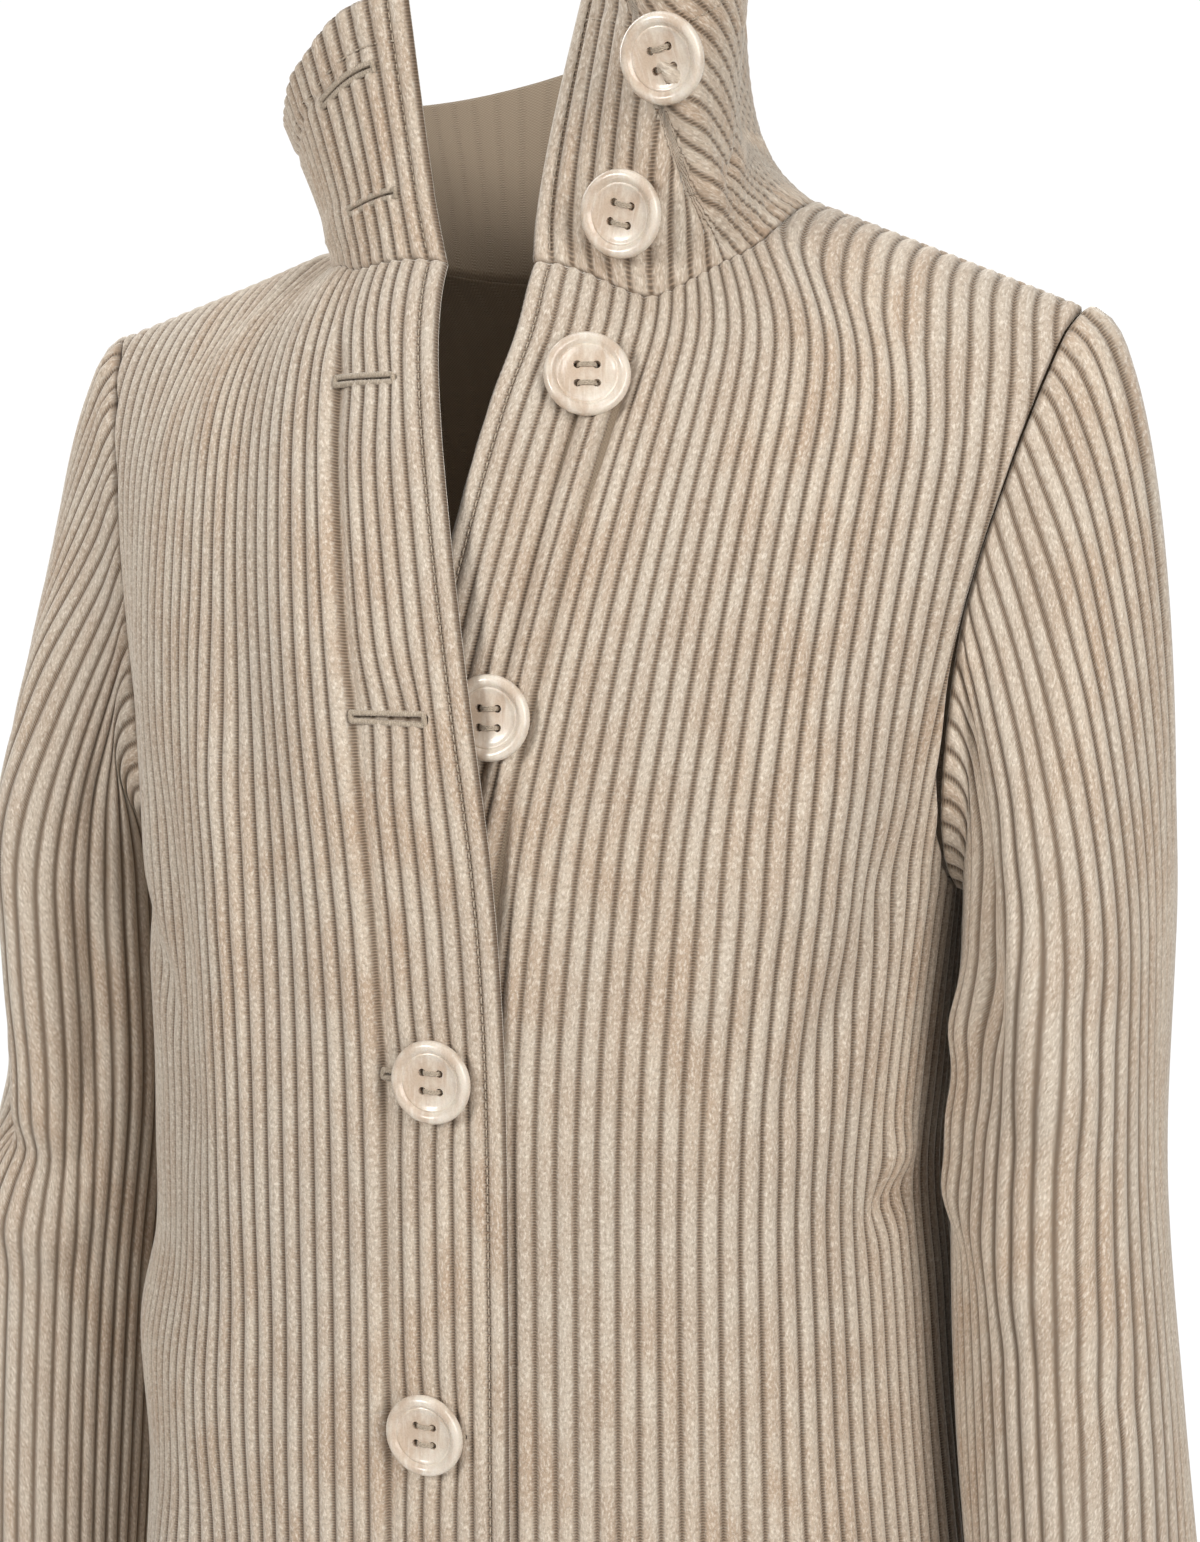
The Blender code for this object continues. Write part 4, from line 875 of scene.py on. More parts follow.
def make_sleeve(side, folds, material):
    surface, half = make_sleeve_surface(side)
    name = "sleeve_left" if side > 0 else "sleeve_right"
    shell = Shell(name + "_cloth")
    sigma = np.array([-half + WALE * (k + p) for k in range(SLEEVE_WALES) for p in PHASES])
    cap = row_levels(lambda v: surface(sigma, v), 0 * sigma, 0 * sigma + 1.0, 44)
    long = SLEEVE_LEFT[0][0] - SLEEVE_LEFT[-1][0]
    below = list(1.0 + np.linspace(0.0, 1.0, 84)[1:])
    below += [2.0 - d / long for d in NEAR_EDGE] + [2.0 - (HEM_DEPTH + d) / long for d in HEM_ROWS]
    below = np.array(sorted(set(np.round(below, 7))))
    level = np.vstack([cap, below[:, None] + 0 * sigma])
    across = sigma[None, :] + 0 * level
    points = surface(across, level)
    held = np.clip(level, 0.01, 1.99)
    run = surface(across + 0.003, held) - surface(across - 0.003, held)
    down = surface(across, held + 0.01) - surface(across, held - 0.01)
    normals = turned_to(unit(np.cross(run, down)), points - points.mean(axis=1, keepdims=True))
    round_it = np.r_[0:len(sigma), 0]
    seam_far = edge_distance(points, resample(points[0][round_it]))
    cuff_far = edge_distance(points, resample(points[-1][round_it], 2 * SEAM_STEP))
    z = points[..., 2]
    free = smooth(seam_far / FREE_WITHIN)
    arm = run_length(points)
    # no folds on the side against the body
    inward = smooth((np.abs(across) - 0.64 * half) / (0.20 * half))
    fold = stroke_field(folds, across, z) * free * (1.0 - inward)
    hang = drape(across, z, 40 + side, SLEEVE_HANG) * free * (1.0 - inward)
    # the cap is gathered a little into its seam
    share = np.abs(across) / half
    ease = 0.0010 * np.sin(2 * math.pi * across / 0.021 + 1.3 * np.sin(across * 60))
    ease = ease * np.exp(-(arm / 0.022) ** 2) * smooth(arm / 0.004) * smooth((0.75 - share) / 0.2)
    ease = ease + 0.0010 * np.exp(-((arm - 0.008) / 0.008) ** 2)
    points = points + normals * (fold + hang + ease * (1.0 - inward))[..., None]
    phase = across / WALE + SLEEVE_WALES / 2
    stitched = channel(cuff_far, HEM_DEPTH, STITCH_GROOVE)
    shell.cloth(points, normals, phase, -arm, seam_far, cuff_far, STITCH_PRESS * stitched, 0.0,
                coarse_places(len(level), 3, []), np.arange(0, len(sigma), len(PHASES)),
                ["top", "bottom"], wrap=True)
    return shell.build(material)


# ---------------------------------------------------------------- collar
COLLAR_FOLDS = (
    (0.4985, 0.08, 0.5375, 0.88, 0.000, 0.0042, -0.0038, 0.20, 0.20),
    (0.4920, 0.06, 0.5250, 0.84, 0.000, 0.0062, 0.0046, 0.20, 0.20),
    (0.4550, 0.60, 0.4950, 0.15, 0.003, 0.0070, -0.0026, 0.25, 0.30),
    (0.030, 0.30, 0.110, 0.06, 0.000, 0.0500, 0.0010, 0.30, 0.30),
)


def make_collar_surface():
    """Inside of the collar by length along the neck seam, from the right front's edge, and level up it."""
    runs = []
    for side, part, back in ((-1, "front", False), (-1, "back", True),
                             (1, "back", False), (1, "front", True)):
        run = np.hstack(body_frames(side, part, *neck_curve(side, part, panel_start(side, part))))
        run = run[::-1] if back else run
        runs.append(run if not runs else run[1:])
    rows = np.vstack(runs)
    arc = run_length(rows[:, :3])
    length = float(arc[-1])

    def at(along, level):
        found = at_places(along, arc, rows)
        point, normal = found[..., :3], unit(found[..., 3:])
        share = along / length
        height, lean, shift_x, shift_y, waist, sway = (table_curve(COLLAR, share, c) for c in range(1, 7))
        out = unit((point - (0.0, -0.015, 0.0)) * (1.0, 1.0, 0.0))
        rise = np.stack([shift_x, shift_y, height], axis=-1) + out * lean[..., None]
        up = unit(rise)
        lifted = COLLAR_SEAM + CREST * np.maximum(0.0, np.sum(normal * up, axis=-1))
        lifted = lifted * (1.0 - COLLAR_TUCK * (1.0 - smooth(level / 0.06)))
        start = point + up * lifted[..., None]
        swayed = np.stack([sway, 0 * sway, 0 * sway], axis=-1)
        bow = (swayed - out * waist[..., None]) * np.sin(math.pi * level ** 0.6)[..., None]
        return start + rise * level[..., None] + bow

    def surface(along, level):
        along, level = np.broadcast_arrays(np.asarray(along, float), np.asarray(level, float))
        inside = np.clip(along, 0.0, length)
        base = at(inside, level)
        over = along - inside
        if np.any(over != 0):
            step = length * 0.01
            turn = np.where(over < 0, step, -step)
            other = at(np.clip(inside + turn, 0.0, length), level)
            base = base + (base - other) / step * np.abs(over)[..., None]
        return base
    return surface, length


def collar_frames(surface, along, level):
    points = surface(along, level)
    run = surface(along + 0.002, level) - surface(along - 0.002, level)
    rise = surface(along, np.minimum(level + 0.05, 1.0)) - surface(along, np.maximum(level - 0.05, 0.0))
    return points, turned_to(unit(np.cross(run, rise)), points * (1.0, 1.0, 0.0))


def make_collar(material):
    surface, length = make_collar_surface()
    shell = Shell("collar_cloth")
    wales = round(length / WALE)
    width = length / wales
    must = list(NEAR_EDGE) + [length - d for d in NEAR_EDGE]
    along = placed_columns(list(np.linspace(0.0, length, wales * COLLAR_COLUMNS + 1)), must, 0.0003)
    low = 0.08           # the height that the rows near its edges are spaced by
    rows = list(np.linspace(0.0, 1.0, 30)) + [d / low for d in NEAR_EDGE]
    rows += [1.0 - d / low for d in (*NEAR_EDGE, COLLAR_STITCH)]
    for _, height, _, _ in COLLAR_BUTTONS:
        rows += [height + d / COLLAR_TALL for d in (-0.0018, *SLIT_ROWS, 0.0018)]
    rows = np.array(sorted(set(np.round(rows, 6))))
    across, level = np.meshgrid(along, rows)
    points, normals = collar_frames(surface, across, level)
    seam_far = edge_distance(points, resample(surface(np.linspace(0, length, 400), np.zeros(400))))
    top = resample(surface(np.linspace(0, length, 400), np.ones(400)))
    ends = [resample(surface(np.full(40, e), np.linspace(0, 1, 40))) for e in (0.0, length)]
    edge_far = edge_distance(points, np.vstack([top] + ends), far=0.03)
    free = smooth(seam_far / 0.015)
    points = points + normals * (stroke_field(COLLAR_FOLDS, across, level) * free)[..., None]
    # behind the crease on the wearer's left the wales lean back towards the shoulder
    leaning = smooth((across - 0.200) / 0.250)
    leaning = leaning * smooth((COLLAR_CREASE + CREASE_RISE * level - across) / 0.004)
    phase = (across - COLLAR_LEAN * level * leaning) / width
    t = (across - BUTTONHOLE_INSET) / (BUTTONHOLE_LENGTH / 2)
    opened = np.maximum(*(slit(t, (level - height) / 0.0055) for _, height, _, _ in COLLAR_BUTTONS))
    stitched = channel(edge_far, COLLAR_STITCH, 0.0014)
    shell.cloth(points, normals, phase, level * COLLAR_TALL, seam_far, edge_far,
                COLLAR_PRESS * stitched, opened, coarse_places(len(rows), 3, []),
                coarse_places(len(along), COLLAR_COLUMNS, []), ["top", "bottom", "near", "far"])
    return shell.build(material), surface, length


# ---------------------------------------------------------------- materials
PILE_WARM = (0.525, 0.392, 0.285)
PILE_PALE = (0.640, 0.540, 0.432)
PILE_GREY = (0.540, 0.478, 0.404)
PILE_LIGHT = (0.920, 0.850, 0.750)
PILE_DARK = (0.270, 0.192, 0.130)
# the grooves' ground weave tones, darkened further as painted shade; the darker one is also painted shade
# along seams, edges and open buttonholes
WEAVE_AND_SHADE_DARK = (0.115, 0.076, 0.048)
WEAVE_AND_SHADE_LIGHT = (0.320, 0.230, 0.158)
REVERSE_DARK = (0.300, 0.232, 0.166)
REVERSE_LIGHT = (0.430, 0.345, 0.256)
BUTTON_CREAM = (0.800, 0.715, 0.610)
BUTTON_BROWN = (0.600, 0.470, 0.360)
BUTTON_PALE = (0.930, 0.890, 0.830)
THREAD_DARK = (0.330, 0.262, 0.190)
THREAD_LIGHT = (0.570, 0.480, 0.375)
PICK = 0.0011            # weft threads that show in the grooves
REVERSE_PICK = 0.0012    # and on the reverse, with this many warp threads to a wale
REVERSE_WARP = 6.0
# the pile's fibres, tufts, nap and patches. columns: shortened along the wales, scale, detail, roughness
GRAINS = ((0.40, 1250.0, 3.0, 0.7), (0.80, 760.0, 3.0, 0.7), (0.55, 62.0, 3.0, 0.55), (0.5, 14.0, 2.0, 0.5))


def set_inputs(made, **inputs):
    for key, value in inputs.items():
        made.inputs[key.replace("_", " ")].default_value = value
    return made


def feed(tree, socket, value):
    """Links an input to another node's output, or sets it to a number or colour."""
    if isinstance(value, bpy.types.NodeSocket):
        tree.links.new(value, socket)
    else:
        socket.default_value = (*value, 1.0) if isinstance(value, tuple) else value


def maths(tree, operation, a, b=None):
    made = tree.nodes.new("ShaderNodeMath")
    made.operation = operation
    feed(tree, made.inputs[0], a)
    if b is not None:
        feed(tree, made.inputs[1], b)
    return made.outputs[0]


def times(tree, a, b):
    return maths(tree, "MULTIPLY", a, b)


def waves(tree, place, in_one):
    return maths(tree, "SINE", times(tree, place, 2 * math.pi * in_one))


def mixed(tree, factor, a, b):
    made = tree.nodes.new("ShaderNodeMix")
    made.data_type = "RGBA"
    for name, kind, value in (("Factor", "VALUE", factor), ("A", "RGBA", a), ("B", "RGBA", b)):
        feed(tree, [s for s in made.inputs if s.name == name and s.type == kind][0], value)
    return [s for s in made.outputs if s.type == "RGBA"][0]


def layered(tree, colour, mask, share, over):
    """A colour with another over it, by a share of a mask."""
    return mixed(tree, times(tree, mask, share), colour, over)


def spread(tree, value, low, high):
    """Brings a value's part between low and high to 0 and 1."""
    made = set_inputs(tree.nodes.new("ShaderNodeMapRange"), From_Min=low, From_Max=high)
    made.interpolation_type = "SMOOTHSTEP"
    tree.links.new(value, made.inputs["Value"])
    return made.outputs["Result"]


def noise(tree, vector, scale, detail, rough):
    made = set_inputs(tree.nodes.new("ShaderNodeTexNoise"), Scale=scale, Detail=detail, Roughness=rough)
    tree.links.new(vector, made.inputs["Vector"])
    return made.outputs["Fac"]


def vector_maths(tree, operation, vector, by):
    made = tree.nodes.new("ShaderNodeVectorMath")
    made.operation = operation
    tree.links.new(vector, made.inputs[0])
    made.inputs[1].default_value = by
    return made.outputs["Value" if operation == "DOT_PRODUCT" else "Vector"]


def stretched(tree, vector, size):
    return vector_maths(tree, "MULTIPLY", vector, size)


def attribute(tree, name, output):
    made = tree.nodes.new("ShaderNodeAttribute")
    made.attribute_name = name
    return made.outputs[output]


def new_material(name):
    material = bpy.data.materials.new(name)
    material.use_nodes = True
    return material, material.node_tree, material.node_tree.nodes["Principled BSDF"]


def bumped(tree, shader, height, strength, distance):
    bump = set_inputs(tree.nodes.new("ShaderNodeBump"), Strength=strength, Distance=distance)
    tree.links.new(height, bump.inputs["Height"])
    tree.links.new(bump.outputs[0], shader.inputs["Normal"])


def corduroy_material():
    """Pile with fine upright fibres, mottled nap, grooves in the ground weave's darker tone with painted
    shade over it, painted shade along seams, edges and open buttonholes, and a plain reverse.
    """
    material, tree, shader = new_material("corduroy_beige")
    parts = tree.nodes.new("ShaderNodeSeparateXYZ")
    tree.links.new(attribute(tree, "cloth", "Vector"), parts.inputs[0])
    phase, along, edge = parts.outputs
    share = maths(tree, "FRACT", phase)
    off_crest = maths(tree, "ABSOLUTE", maths(tree, "SUBTRACT", times(tree, share, 2.0), 1.0))
    groove = spread(tree, off_crest, 0.46, 0.97)
    # cloth coordinates in metres, so that every grain has its real size
    cloth = tree.nodes.new("ShaderNodeCombineXYZ")
    tree.links.new(times(tree, phase, WALE), cloth.inputs[0])
    tree.links.new(along, cloth.inputs[1])
    fibres, tufts, nap, patches = (noise(tree, stretched(tree, cloth.outputs[0], (1.0, short, 1.0)), *grain)
                                   for short, *grain in GRAINS)
    picks = waves(tree, along, 1 / PICK)
    colour = mixed(tree, spread(tree, nap, 0.36, 0.64), PILE_WARM, PILE_PALE)
    colour = layered(tree, colour, spread(tree, patches, 0.35, 0.65), 0.45, PILE_GREY)
    colour = layered(tree, colour, spread(tree, fibres, 0.46, 0.66), 0.62, PILE_LIGHT)
    colour = layered(tree, colour, spread(tree, tufts, 0.54, 0.34), 0.45, PILE_DARK)
    # the grooves take the ground weave's tone, darkened further as painted shade
    weave_and_shade = mixed(tree, spread(tree, picks, -0.2, 0.9), WEAVE_AND_SHADE_DARK, WEAVE_AND_SHADE_LIGHT)
    colour = layered(tree, colour, groove, 0.88, weave_and_shade)
    # painted shade: darker within 1.6 mm of a seam or edge, and darkest in an open buttonhole
    colour = layered(tree, colour, spread(tree, edge, 0.0016, 0.0002), 0.45, WEAVE_AND_SHADE_DARK)
    weave = times(tree, waves(tree, along, 1 / REVERSE_PICK), waves(tree, phase, REVERSE_WARP))
    reverse = mixed(tree, spread(tree, weave, -1.2, 1.2), REVERSE_DARK, REVERSE_LIGHT)
    inside = spread(tree, attribute(tree, "inner", "Fac"), 0.3, 0.7)
    tree.links.new(mixed(tree, inside, colour, reverse), shader.inputs["Base Color"])
    set_inputs(shader, Roughness=0.86, Specular_IOR_Level=0.22, Sheen_Weight=1.0, Sheen_Roughness=0.38,
               Sheen_Tint=(1.0, 0.94, 0.85, 1.0))
    tree.links.new(maths(tree, "ADD", times(tree, groove, 0.10), 0.82), shader.inputs["Roughness"])
    height = maths(tree, "ADD", times(tree, fibres, 0.55), times(tree, tufts, 0.75))
    height = maths(tree, "ADD", height, times(tree, times(tree, picks, groove), 0.30))
    bumped(tree, shader, height, 0.7, 0.0005)
    return material


def button_material():
    """Polished pale horn-like resin with soft cloudy streaks."""
    material, tree, shader = new_material("button_cream")
    place = tree.nodes.new("ShaderNodeTexCoord").outputs["Object"]
    clouds = noise(tree, stretched(tree, place, (1.0, 0.45, 1.0)), 130.0, 4.0, 0.55)
    streaks = noise(tree, stretched(tree, place, (1.0, 0.12, 1.0)), 700.0, 3.0, 0.6)
    scuffs = noise(tree, place, 1500.0, 2.0, 0.5)
    colour = mixed(tree, spread(tree, clouds, 0.36, 0.66), BUTTON_BROWN, BUTTON_CREAM)
    colour = layered(tree, colour, spread(tree, streaks, 0.50, 0.75), 0.35, BUTTON_PALE)
    tree.links.new(colour, shader.inputs["Base Color"])
    tree.links.new(maths(tree, "ADD", times(tree, scuffs, 0.16), 0.20), shader.inputs["Roughness"])
    set_inputs(shader, Coat_Weight=0.45, Coat_Roughness=0.12, Subsurface_Weight=0.12,
               Subsurface_Radius=(0.004, 0.003, 0.002))
    bumped(tree, shader, scuffs, 0.12, 0.0002)
    return material


def thread_material():
    """Matt twisted sewing thread, a little darker than the cloth."""
    material, tree, shader = new_material("thread_beige")
    place = tree.nodes.new("ShaderNodeTexCoord").outputs["Object"]
    strands = noise(tree, stretched(tree, place, (1.0, 1.0, 0.4)), 2600.0, 3.0, 0.6)
    colour = mixed(tree, spread(tree, strands, 0.35, 0.66), THREAD_DARK, THREAD_LIGHT)
    tree.links.new(colour, shader.inputs["Base Color"])
    set_inputs(shader, Roughness=0.72, Sheen_Weight=0.30)
    bumped(tree, shader, strands, 0.5, 0.0002)
    return material


# ---------------------------------------------------------------- buttons
# columns: radius, height over the seat: the turned outline, back rim to centre
BUTTON_OUTLINE = (
    (0.0000, 0.0000), (0.0120, 0.0000), (0.0133, 0.0002), (0.0143, 0.0009), (0.0149, 0.0018),
    (0.0150, 0.0026), (0.0147, 0.0036), (0.0141, 0.0043), (0.0133, 0.0047), (0.0124, 0.0047),
    (0.0116, 0.0043), (0.0110, 0.0036), (0.0106, 0.0033), (0.0103, 0.0035), (0.0099, 0.0035),
    (0.0094, 0.0031), (0.0080, 0.0028), (0.0055, 0.0026), (0.0028, 0.0025), (0.0000, 0.0025),
)
BUTTON_TURNS = 56
HOLE_SPREAD = 0.0033
HOLE_RADIUS = 0.0014


def mesh_object(name, points, faces, material):
    mesh = bpy.data.meshes.new(name)
    mesh.from_pydata([tuple(map(float, p)) for p in points], [], [tuple(map(int, f)) for f in faces])
    return welded_object(name, mesh, material, 1e-7)


def turned(outline, turns):
    """Points and faces of an outline turned about z; its first and last points lie on the axis."""
    points = [(0.0, 0.0, outline[0][1])]
    for radius, height in outline[1:-1]:
        for k in range(turns):
            angle = 2 * math.pi * k / turns
            points.append((radius * math.cos(angle), radius * math.sin(angle), height))
    points.append((0.0, 0.0, outline[-1][1]))
    last, rings = len(points) - 1, len(outline) - 2
    faces = []
    for k in range(turns):
        ahead = (k + 1) % turns
        faces.append((0, 1 + ahead, 1 + k))
        for r in range(rings - 1):
            a, b = 1 + r * turns + k, 1 + r * turns + ahead
            faces.append((a, b, b + turns, a + turns))
        faces.append((1 + (rings - 1) * turns + k, 1 + (rings - 1) * turns + ahead, last))
    return points, faces


def swept(path, radius_at, sides=8, closed=False):
    """Tube along a path; radius_at(k, turn) is its radius. Returns points and faces."""
    path = np.asarray(path, float)
    count = len(path)
    if closed:
        tangent = unit(np.roll(path, -1, axis=0) - np.roll(path, 1, axis=0))
    else:
        tangent = unit(np.gradient(path, axis=0))
    up = np.array((0.0, 0.0, 1.0)) if abs(tangent[0][2]) < 0.9 else np.array((1.0, 0.0, 0.0))
    points = []
    for k in range(count):
        side_way = np.cross(tangent[k], up)
        side_way /= np.linalg.norm(side_way)
        up = np.cross(side_way, tangent[k])
        for s in range(sides):
            turn = 2 * math.pi * s / sides
            points.append(path[k] + radius_at(k, turn) * (math.cos(turn) * side_way + math.sin(turn) * up))
    faces = []
    for k in range(count if closed else count - 1):
        for s in range(sides):
            a, b = k * sides + s, k * sides + (s + 1) % sides
            c, d = (k + 1) % count * sides + (s + 1) % sides, (k + 1) % count * sides + s
            faces.append((a, b, c, d))
    if not closed:
        faces.append(tuple(reversed(range(sides))))
        faces.append(tuple(range((count - 1) * sides, count * sides)))
    return points, faces


def joined(parts):
    points, faces = [], []
    for more_points, more_faces in parts:
        start = len(points)
        points += list(more_points)
        faces += [tuple(start + i for i in f) for f in more_faces]
    return points, faces


def drilled_button_mesh(material):
    """Turned button with four drilled holes, cut once and shared by all buttons."""
    points, faces = turned(BUTTON_OUTLINE, BUTTON_TURNS)
    blank = mesh_object("button_blank", points, faces, material)
    drills = []
    for sx, sy in ((1, 1), (-1, 1), (-1, -1), (1, -1)):
        path = [(sx * HOLE_SPREAD, sy * HOLE_SPREAD, z) for z in (-0.002, 0.002, 0.007)]
        drills.append(swept(path, lambda k, turn: HOLE_RADIUS, sides=16))
    drill = mesh_object("button_drill", *joined(drills), material)
    cut = blank.modifiers.new("holes", "BOOLEAN")
    cut.operation = "DIFFERENCE"
    cut.solver = "EXACT"
    cut.object = drill
    bpy.context.view_layer.update()
    evaluated = blank.evaluated_get(bpy.context.evaluated_depsgraph_get())
    mesh = bpy.data.meshes.new_from_object(evaluated)
    mesh.name = "button_turned"
    bpy.data.objects.remove(blank)
    bpy.data.objects.remove(drill)
    edges = bmesh.new()
    edges.from_mesh(mesh)
    for edge in edges.edges:
        if len(edge.link_faces) == 2 and edge.calc_face_angle(0.0) > math.radians(42):
            edge.smooth = False
    edges.to_mesh(mesh)
    edges.free()
    return mesh


def thread_parts():
    """Thread through the holes: two bars of three strands each, and the wound shank below."""
    parts = []
    for sy in (-1, 1):
        for offset in (-0.00045, 0.0, 0.00045):
            t = np.linspace(0.0, 1.0, 15)
            x = HOLE_SPREAD * (2 * t - 1) * 1.02
            y = 0 * t + sy * HOLE_SPREAD + offset * (1 + 0.3 * np.sin(math.pi * t))
            z = 0.0004 + 0.0029 * np.clip(np.sin(math.pi * t), 0, 1) ** 0.32
            path = np.stack([x, y, z], axis=-1)
            parts.append(swept(path, lambda k, turn: THREAD_RADIUS + 0.00004 * math.sin(2 * turn + 1.6 * k),
                               sides=7))
    turn = np.linspace(0, 2 * math.pi * 5, 100)
    x, y, z = 0.0030 * np.cos(turn), 0.0030 * np.sin(turn), -0.0009 + 0.0010 * turn / turn[-1]
    parts.append(swept(np.stack([x, y, z], axis=-1), lambda k, turn: 0.00032, sides=6))
    return parts


def seated(point, normal, across, seat):
    """Matrix of a button that stands a seat off the crests at a place on the cloth."""
    point = point + normal * (CREST + seat)
    z = Vector(normal).normalized()
    x = (Vector(across) - z * Vector(across).dot(z)).normalized()
    y = z.cross(x)
    return Matrix([(x[i], y[i], z[i], point[i]) for i in range(3)] + [(0, 0, 0, 1)])


def front_place(side, inset, z):
    sigma, level = np.array([panel_start(side, "front") + inset]), np.array([level_at(z)])
    points, normals = body_frames(side, "front", sigma, level)
    across = (body_points(side, "front", sigma + 0.004, level)
              - body_points(side, "front", sigma - 0.004, level)) * side
    return points[0], normals[0], across[0]


def collar_place(surface, along, level):
    along, level = np.array([along]), np.array([level])
    points, normals = collar_frames(surface, along, level)
    normals = turned_to(normals, np.array((0.0, -1.0, 0.0)))
    across = surface(along - 0.004, level) - surface(along + 0.004, level)
    return points[0], normals[0], across[0]


def make_button(number, matrix, mesh, thread):
    made = linked(bpy.data.objects.new(f"button_{number}_turned", mesh))
    made.matrix_world = matrix
    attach(made, "root")
    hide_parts(f"button_{number}")
    sewn = mesh_object(f"button_{number}_thread", *joined(thread_parts()), thread)
    sewn.matrix_world = matrix
    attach(sewn, "root")


def make_binding(name, surface_at, centre, half, thread, open_by):
    """Close buttonhole stitches round a slit. surface_at(across, up) gives points on the crests."""
    turn = np.linspace(0, 2 * math.pi, 150, endpoint=False)
    across = half * np.clip(1.06 * np.cos(turn), -1, 1)
    up = (0.0013 + open_by * np.clip(0.5 - 0.5 * np.cos(turn), 0, 1)) * np.clip(3.0 * np.sin(turn), -1, 1)
    path = surface_at(centre + across, up)
    parts = swept(path, lambda k, turn: BINDING_RADIUS * (1.0 + 0.18 * math.sin(k * 2.3)), closed=True)
    made = mesh_object(name, *parts, thread)
    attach(made, "root")


def make_buttons(collar_surface, length, button, thread):
    mesh = drilled_button_mesh(button)
    for number, z, inset, fastened, seat in FRONT_BUTTONS:
        make_button(number, seated(*front_place(-1 if fastened else 1, inset, z), seat), mesh, thread)

        def on_front(across_at, up, height=z):
            level = np.array([level_at(height + u) for u in up])
            points, normals = body_frames(-1, "front", across_at, level)
            return points + normals * (CREST - BINDING_SINK)
        make_binding(f"buttonhole_{number}_binding", on_front, RIGHT_EDGE + BUTTONHOLE_INSET,
                     BUTTONHOLE_LENGTH / 2, thread, 0.0006 if number == 4 else 0.0)
    for number, level, inset, seat in COLLAR_BUTTONS:
        make_button(number, seated(*collar_place(collar_surface, length - inset, level), seat), mesh, thread)

        def on_collar(across_at, up, height=level):
            points, normals = collar_frames(collar_surface, across_at, height + up / COLLAR_TALL)
            return points + normals * (CREST - BINDING_SINK)
        make_binding(f"buttonhole_{number}_binding", on_collar, BUTTONHOLE_INSET,
                     BUTTONHOLE_LENGTH / 2, thread, 0.0)


# ---------------------------------------------------------------- stitching
def stitches(lines, pitch=0.0034, long=0.0027, radius=THREAD_RADIUS):
    """Short thread stitches along lines of (points, normals), sunk a little in the cloth."""
    parts = []
    lift = np.array((-0.0004, 0.00015, 0.00025, 0.00015, -0.0004))[:, None]
    for points, normals in lines:
        arc = run_length(points)
        for start in np.arange(0.5 * pitch, arc[-1] - long, pitch):
            at = start + long * np.array((0.0, 0.18, 0.5, 0.82, 1.0))
            path = at_places(at, arc, points) + at_places(at, arc, normals) * lift
            parts.append(swept(path, lambda k, turn: radius * (0.6, 1.0, 1.05, 1.0, 0.6)[k], sides=5))
    return joined(parts)


def make_stitching(name, lines, thread):
    made = mesh_object(name, *stitches(lines), thread)
    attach(made, "root")


def raised(frames, height=0.0008):
    """A line's points at a height over the grooves, and its normals."""
    points, normals = frames
    return points + normals * (GROOVE_WALL + height), normals


def topstitching(collar_surface, length, thread):
    """Stitch lines along the finished edges, the hem and the collar."""
    def hem(side, part, first):
        across = np.linspace(first, panel_width(side, part) - 0.002, 200)
        return raised(body_frames(side, part, across, 0 * across + 2.0 - HEM_DEPTH / (Z_CHEST - Z_HEM)))

    for side, name in ((-1, "front_right"), (1, "front_left")):
        edge = panel_start(side, "front")
        first = float(neck_level(side, "front", np.array([edge + STITCH_INSET]))[0])
        level = np.linspace(first + 0.01, 1.995, 400)
        upright = body_frames(side, "front", 0 * level + edge + STITCH_INSET, level)
        lines = [raised(upright, 0.0004), hem(side, "front", edge + 0.009)]
        make_stitching(name + "_topstitching", lines, thread)
    make_stitching("back_topstitching", [hem(side, "back", 0.0) for side in (-1, 1)], thread)
    across, rise = np.linspace(0.004, length - 0.004, 500), np.linspace(0.02, 0.98, 60)
    lines = [raised(collar_frames(collar_surface, across, 0 * across + 1.0 - COLLAR_STITCH / COLLAR[0][1]))]
    lines += [raised(collar_frames(collar_surface, 0 * rise + inset, rise))
              for inset in (STITCH_INSET, length - STITCH_INSET)]
    make_stitching("collar_topstitching", lines, thread)


# ---------------------------------------------------------------- studio
CAMERA_PLACE = (0.3184, -0.7881, -0.1100)
CAMERA_PITCH = 82.65
CAMERA_TURN = 21.08
CAMERA_LENS = 49.03
FLOOR_HALF = 1.4
FLOOR_Z = -1.35
# columns: name, place, target, size, power, colour
LIGHTS = (
    ("right", (1.38, -1.02, 0.20), (0.05, 0.0, -0.30), (0.7, 1.5), 21.0, (1.0, 0.975, 0.94)),
    ("left", (-1.25, 0.75, 0.85), (0.0, 0.0, -0.20), (0.8, 1.4), 13.0, (1.0, 0.99, 0.97)),
    ("front", (-0.75, -1.68, 0.40), (0.0, 0.0, -0.25), (0.5, 0.6), 18.5, (1.0, 0.98, 0.95)),
    ("top", (0.1, -0.2, 1.6), (0.0, 0.0, -0.2), (1.2, 1.2), 9.0, (0.92, 0.96, 1.0)),
)


def area_light(name, place, target, size, power, colour):
    data = bpy.data.lights.new(name, "AREA")
    data.shape = "RECTANGLE"
    data.size, data.size_y = size
    data.energy, data.color = power, colour
    made = linked(bpy.data.objects.new(name, data))
    made.location = place
    made.rotation_euler = (Vector(target) - Vector(place)).to_track_quat("-Z", "Y").to_euler()


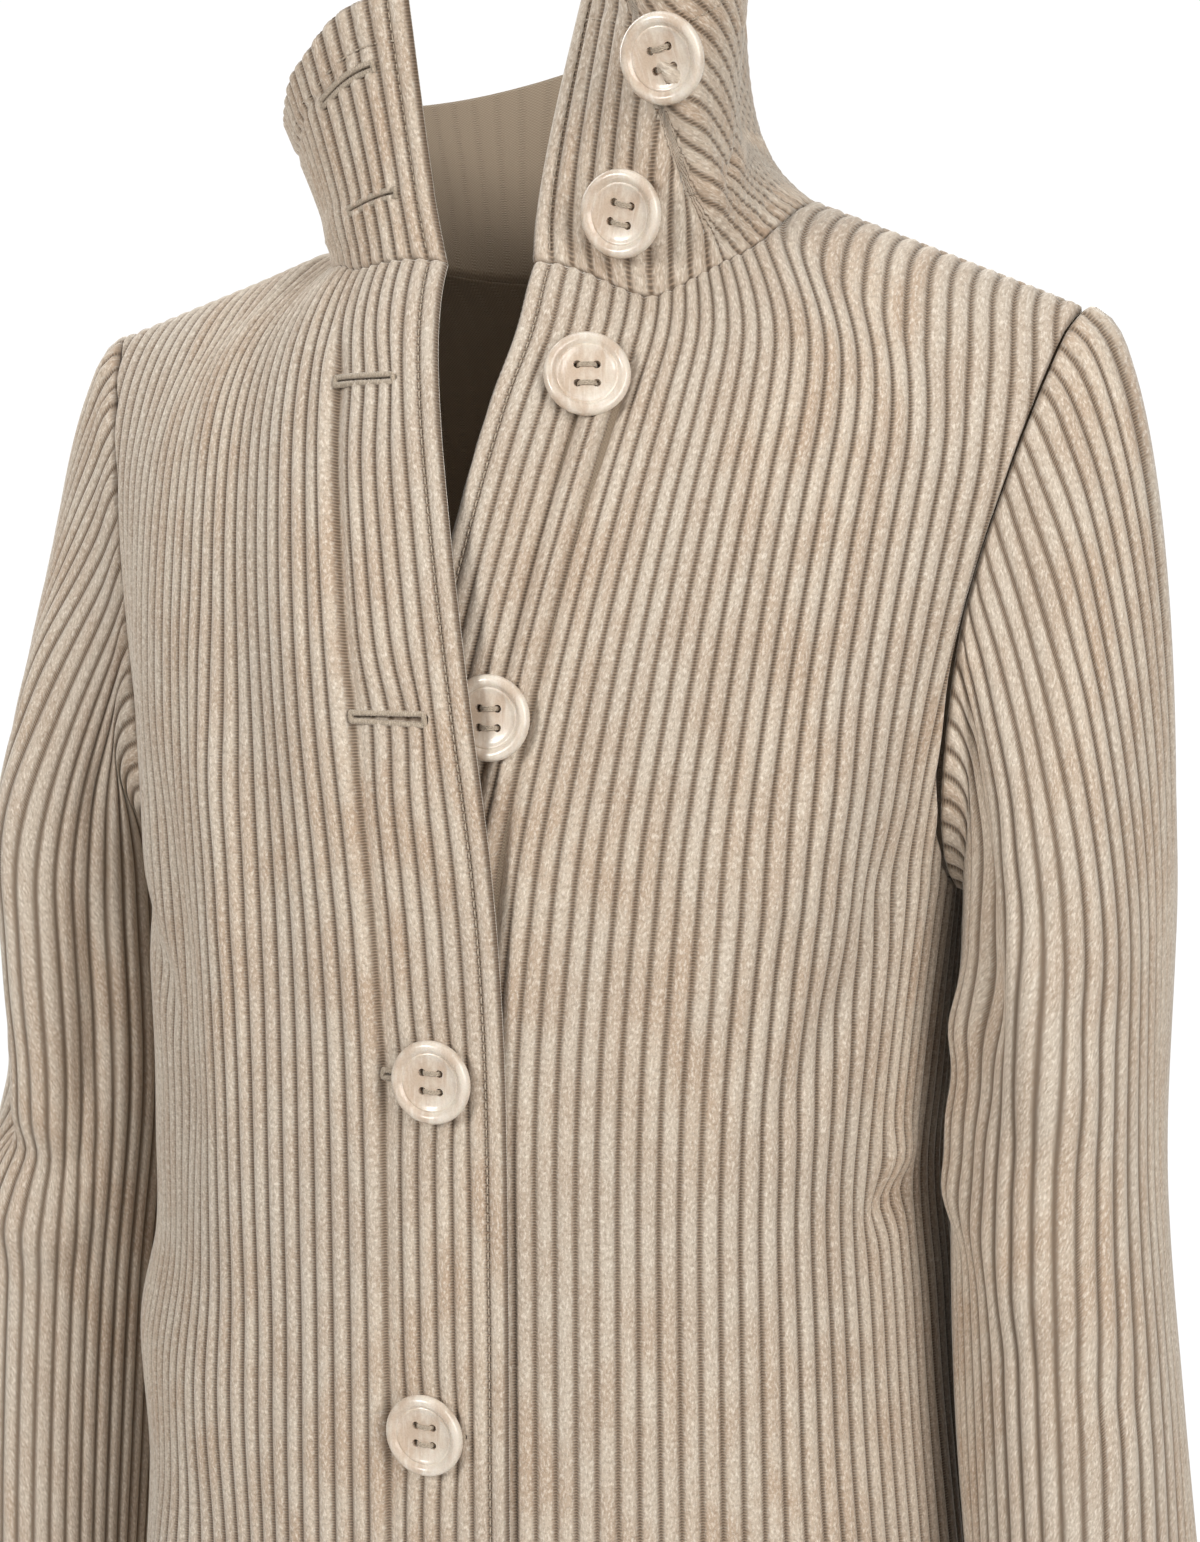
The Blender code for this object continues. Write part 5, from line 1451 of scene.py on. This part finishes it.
def studio():
    world = bpy.data.worlds.new("studio")
    bpy.context.scene.world = world
    bpy.context.scene.view_settings.view_transform = "Standard"
    world.use_nodes = True
    tree = world.node_tree
    # white straight behind the coat as the camera sees it, grey to its sides and front
    way = vector_maths(tree, "DOT_PRODUCT", tree.nodes.new("ShaderNodeTexCoord").outputs["Generated"],
                       (-0.36, 0.93, 0.0))
    feed(tree, tree.nodes["Background"].inputs[0], (1.0, 1.0, 1.0))
    power = maths(tree, "ADD", times(tree, spread(tree, way, 0.30, 0.85), 0.84), 0.20)
    tree.links.new(power, tree.nodes["Background"].inputs[1])
    for light in LIGHTS:
        area_light(*light)
    material, tree, shader = new_material("floor_pale")
    grain = noise(tree, tree.nodes.new("ShaderNodeTexCoord").outputs["Object"], 9.0, 3.0, 0.5)
    shade = mixed(tree, spread(tree, grain, 0.3, 0.7), (0.86, 0.86, 0.855), (0.90, 0.90, 0.895))
    tree.links.new(shade, shader.inputs["Base Color"])
    set_inputs(shader, Roughness=0.9)
    points = [(x * FLOOR_HALF, y * FLOOR_HALF, FLOOR_Z) for x, y in ((-1, -1), (1, -1), (1, 1), (-1, 1))]
    floor = mesh_object("floor", points, [(0, 1, 2, 3)], material)
    data = bpy.data.cameras.new("camera")
    data.sensor_width, data.lens = 36.0, CAMERA_LENS
    data.clip_start, data.clip_end = 0.01, 50.0
    camera = linked(bpy.data.objects.new("camera", data))
    camera.location = CAMERA_PLACE
    camera.rotation_euler = (math.radians(CAMERA_PITCH), 0.0, math.radians(CAMERA_TURN))
    bpy.context.scene.camera = camera


# ---------------------------------------------------------------- the coat
def make_body(cloth):
    rows = (34, 10, 9, 11, 118)
    made = {}
    for side, name, folds in ((-1, "front_right", FRONT_RIGHT_FOLDS), (1, "front_left", FRONT_LEFT_FOLDS)):
        shell = Shell(name + "_cloth")
        lay_body(shell, side, "front", folds, PHASES, rows, 11 + side)
        made[name] = shell.build(cloth)
    shell = Shell("back_cloth")
    for side in (-1, 1):
        lay_body(shell, side, "back", BACK_FOLDS, BACK_PHASES, (26, 8, 8, 8, 96), 23)
    made["back"] = shell.build(cloth)
    return made


def main():
    cloth, button, thread = corduroy_material(), button_material(), thread_material()
    made = make_body(cloth)
    made["sleeve_right"] = make_sleeve(-1, SLEEVE_RIGHT_FOLDS, cloth)
    made["sleeve_left"] = make_sleeve(1, SLEEVE_LEFT_FOLDS, cloth)
    made["collar"], collar_surface, length = make_collar(cloth)
    for name, piece in made.items():
        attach(piece, "root")
        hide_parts(name)
    make_buttons(collar_surface, length, button, thread)
    topstitching(collar_surface, length, thread)
    studio()


main()
